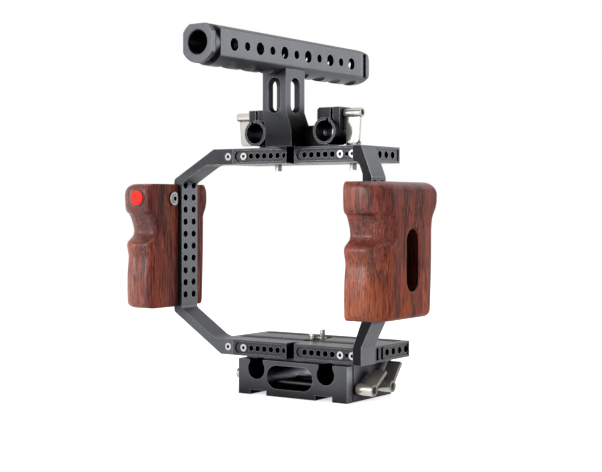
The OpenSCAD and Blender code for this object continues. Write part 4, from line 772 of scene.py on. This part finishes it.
def build_grips():
    """The carved grips, which are seen in place of the CAD ones."""
    for name, place in GRIPS.items():
        bm = bmesh.new()
        loft(bm, [grip_ring(z, *place) for z in grip_levels()])
        bm = cut_with(bm, bar_seat(*place))
        bm = cut_with(bm, slot_cutter(*place))
        if name == "left_grip":
            for cutter in control_cutters():
                bm = cut_with(bm, cutter)
        # painted shade on the slot's walls
        shade_slot_walls(bm, *place)
        o = mesh_object(name + "_carved", bm, MATS["wood"], "cage", [name], 40)
        o.data.materials.append(MATS["wood_slot_shade"])


# ---------------------------------------------------------------- screw threads

def thread(name, body, x, y, z0, z1, radius, pitch, crest):
    """A helical ridge round a screw's shank, from z0 to z1, tapering off at both ends."""
    steps_a_turn, taper_steps = 28, 9
    root = 0.15             # how far the ridge reaches into the shank
    flank, least_flank = 0.42, 0.25
    count = int((z1 - z0) / pitch * steps_a_turn)
    bm = bmesh.new()
    rows = []
    for i in range(count + 1):
        a = 2 * math.pi * i / steps_a_turn
        z = z0 + (z1 - z0) * i / count
        grow = crest * min(1.0, i / taper_steps, (count - i) / taper_steps)
        half = flank * pitch * max(least_flank, grow / crest)
        profile = ((radius - root, z - half), (radius + grow, z), (radius - root, z + half))
        rows.append([bm.verts.new(((x + r * math.cos(a)) * MM, (y + r * math.sin(a)) * MM, h * MM))
                     for r, h in profile])
    for p, q in zip(rows, rows[1:]):
        for k in range(3):
            bm.faces.new((p[k], p[(k + 1) % 3], q[(k + 1) % 3], q[k]))
    bm.faces.new(list(reversed(rows[0])))
    bm.faces.new(rows[-1])
    mesh_object(name, bm, MATS["bright_steel"], body, (), 50)


def shank(box):
    """A screw's axis and its lowest and highest point, from its box."""
    low, high = box
    x, y = [(low[i] + high[i]) / 2 / MM for i in (0, 1)]
    return x, y, low[2] / MM, high[2] / MM


def build_threads():
    """Threads for the screw that holds the camera and for the two hold-down screws."""
    x, y, _, top = shank(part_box("camera_screw"))
    thread("camera_screw_thread", "camera_fixing_screw", x, y, top - 3.9, top - 0.6,
           radius=3.15, pitch=1.27, crest=0.12)
    for side in ("left", "right"):
        x, y, tip, _ = shank(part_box(side + "_hold_down_screw"))
        thread(side + "_hold_down_thread", side + "_hold_down", x, y, tip + 0.6, tip + 4.2,
               radius=2.48, pitch=0.9, crest=0.14)


# ---------------------------------------------------------------- stage and light

FLOOR_HALF, FLOOR_Z = 6.0, -0.0002
FLOOR_TONE, FLOOR_GLOW = 0.86, 0.62
WORLD_LIGHT, WORLD_SEEN = 0.45, 1.0

# name, place, target, size and watts of each lamp
LAMPS = (
    ("key", (-0.50, -1.80, 0.66), (0, 0, 0.12), (1.0, 1.0), 24),
    ("side", (1.30, 1.20, 0.50), (0, 0, 0.14), (0.9, 0.9), 14),
    ("strip", (-1.60, -1.10, 0.22), (0.05, -0.03, 0.12), (0.22, 1.0), 9),
    ("top", (0.1, 0.2, 2.0), (0, 0, 0.1), (1.2, 1.2), 10),
)


def looked_at(tree):
    """1 for rays that see a surface, directly or in a mirror, and 0 for those that light it."""
    path = add_node(tree, "ShaderNodeLightPath")
    seen = path.outputs["Is Camera Ray"]
    for ray in ("Is Glossy Ray", "Is Transmission Ray"):
        both = add_node(tree, "ShaderNodeMath", {0: seen, 1: path.outputs[ray]},
                        operation="MAXIMUM")
        seen = both.outputs[0]
    return seen


def make_stage():
    """White floor, which glows where it is looked at so that it runs into the background."""
    bm = bmesh.new()
    for x, y in ((-1, -1), (1, -1), (1, 1), (-1, 1)):
        bm.verts.new((x * FLOOR_HALF, y * FLOOR_HALF, FLOOR_Z))
    bm.faces.new(bm.verts)
    me = bpy.data.meshes.new("floor")
    bm.to_mesh(me)
    bm.free()
    floor = add_object("floor", me)
    m = bpy.data.materials.new("floor_pale")
    m.use_nodes = True
    t = m.node_tree
    t.nodes.clear()
    diffuse = add_node(t, "ShaderNodeBsdfDiffuse", {"Color": rgba(FLOOR_TONE)})
    lift = add_node(t, "ShaderNodeMath", {0: looked_at(t), 1: FLOOR_GLOW},
                    operation="MULTIPLY")
    glow = add_node(t, "ShaderNodeEmission", {"Color": rgba(1), "Strength": lift.outputs[0]})
    both = add_node(t, "ShaderNodeAddShader", {0: diffuse.outputs[0], 1: glow.outputs[0]})
    add_node(t, "ShaderNodeOutputMaterial", {"Surface": both.outputs[0]})
    me.materials.append(m)


def make_light():
    """White surroundings, dimmer as light than as a sight, and four large lamps."""
    world = bpy.data.worlds.new("studio")
    bpy.context.scene.world = world
    world.use_nodes = True
    t = world.node_tree
    level = add_node(t, "ShaderNodeMapRange",
                     {"Value": looked_at(t), "To Min": WORLD_LIGHT, "To Max": WORLD_SEEN})
    fill(t, t.nodes["Background"], {"Color": rgba(1), "Strength": level.outputs[0]})
    for name, at, target, size, watts in LAMPS:
        data = bpy.data.lights.new(name, "AREA")
        data.shape = "RECTANGLE"
        data.size, data.size_y = size
        data.energy = watts
        lamp = add_object(name, data)
        lamp.location = at
        aim(lamp, Vector(target) - Vector(at))


# ---------------------------------------------------------------- the scene

make_camera()
dress_nodes()
build_grips()
build_threads()
make_stage()
make_light()
bpy.context.scene.view_settings.view_transform = "Standard"
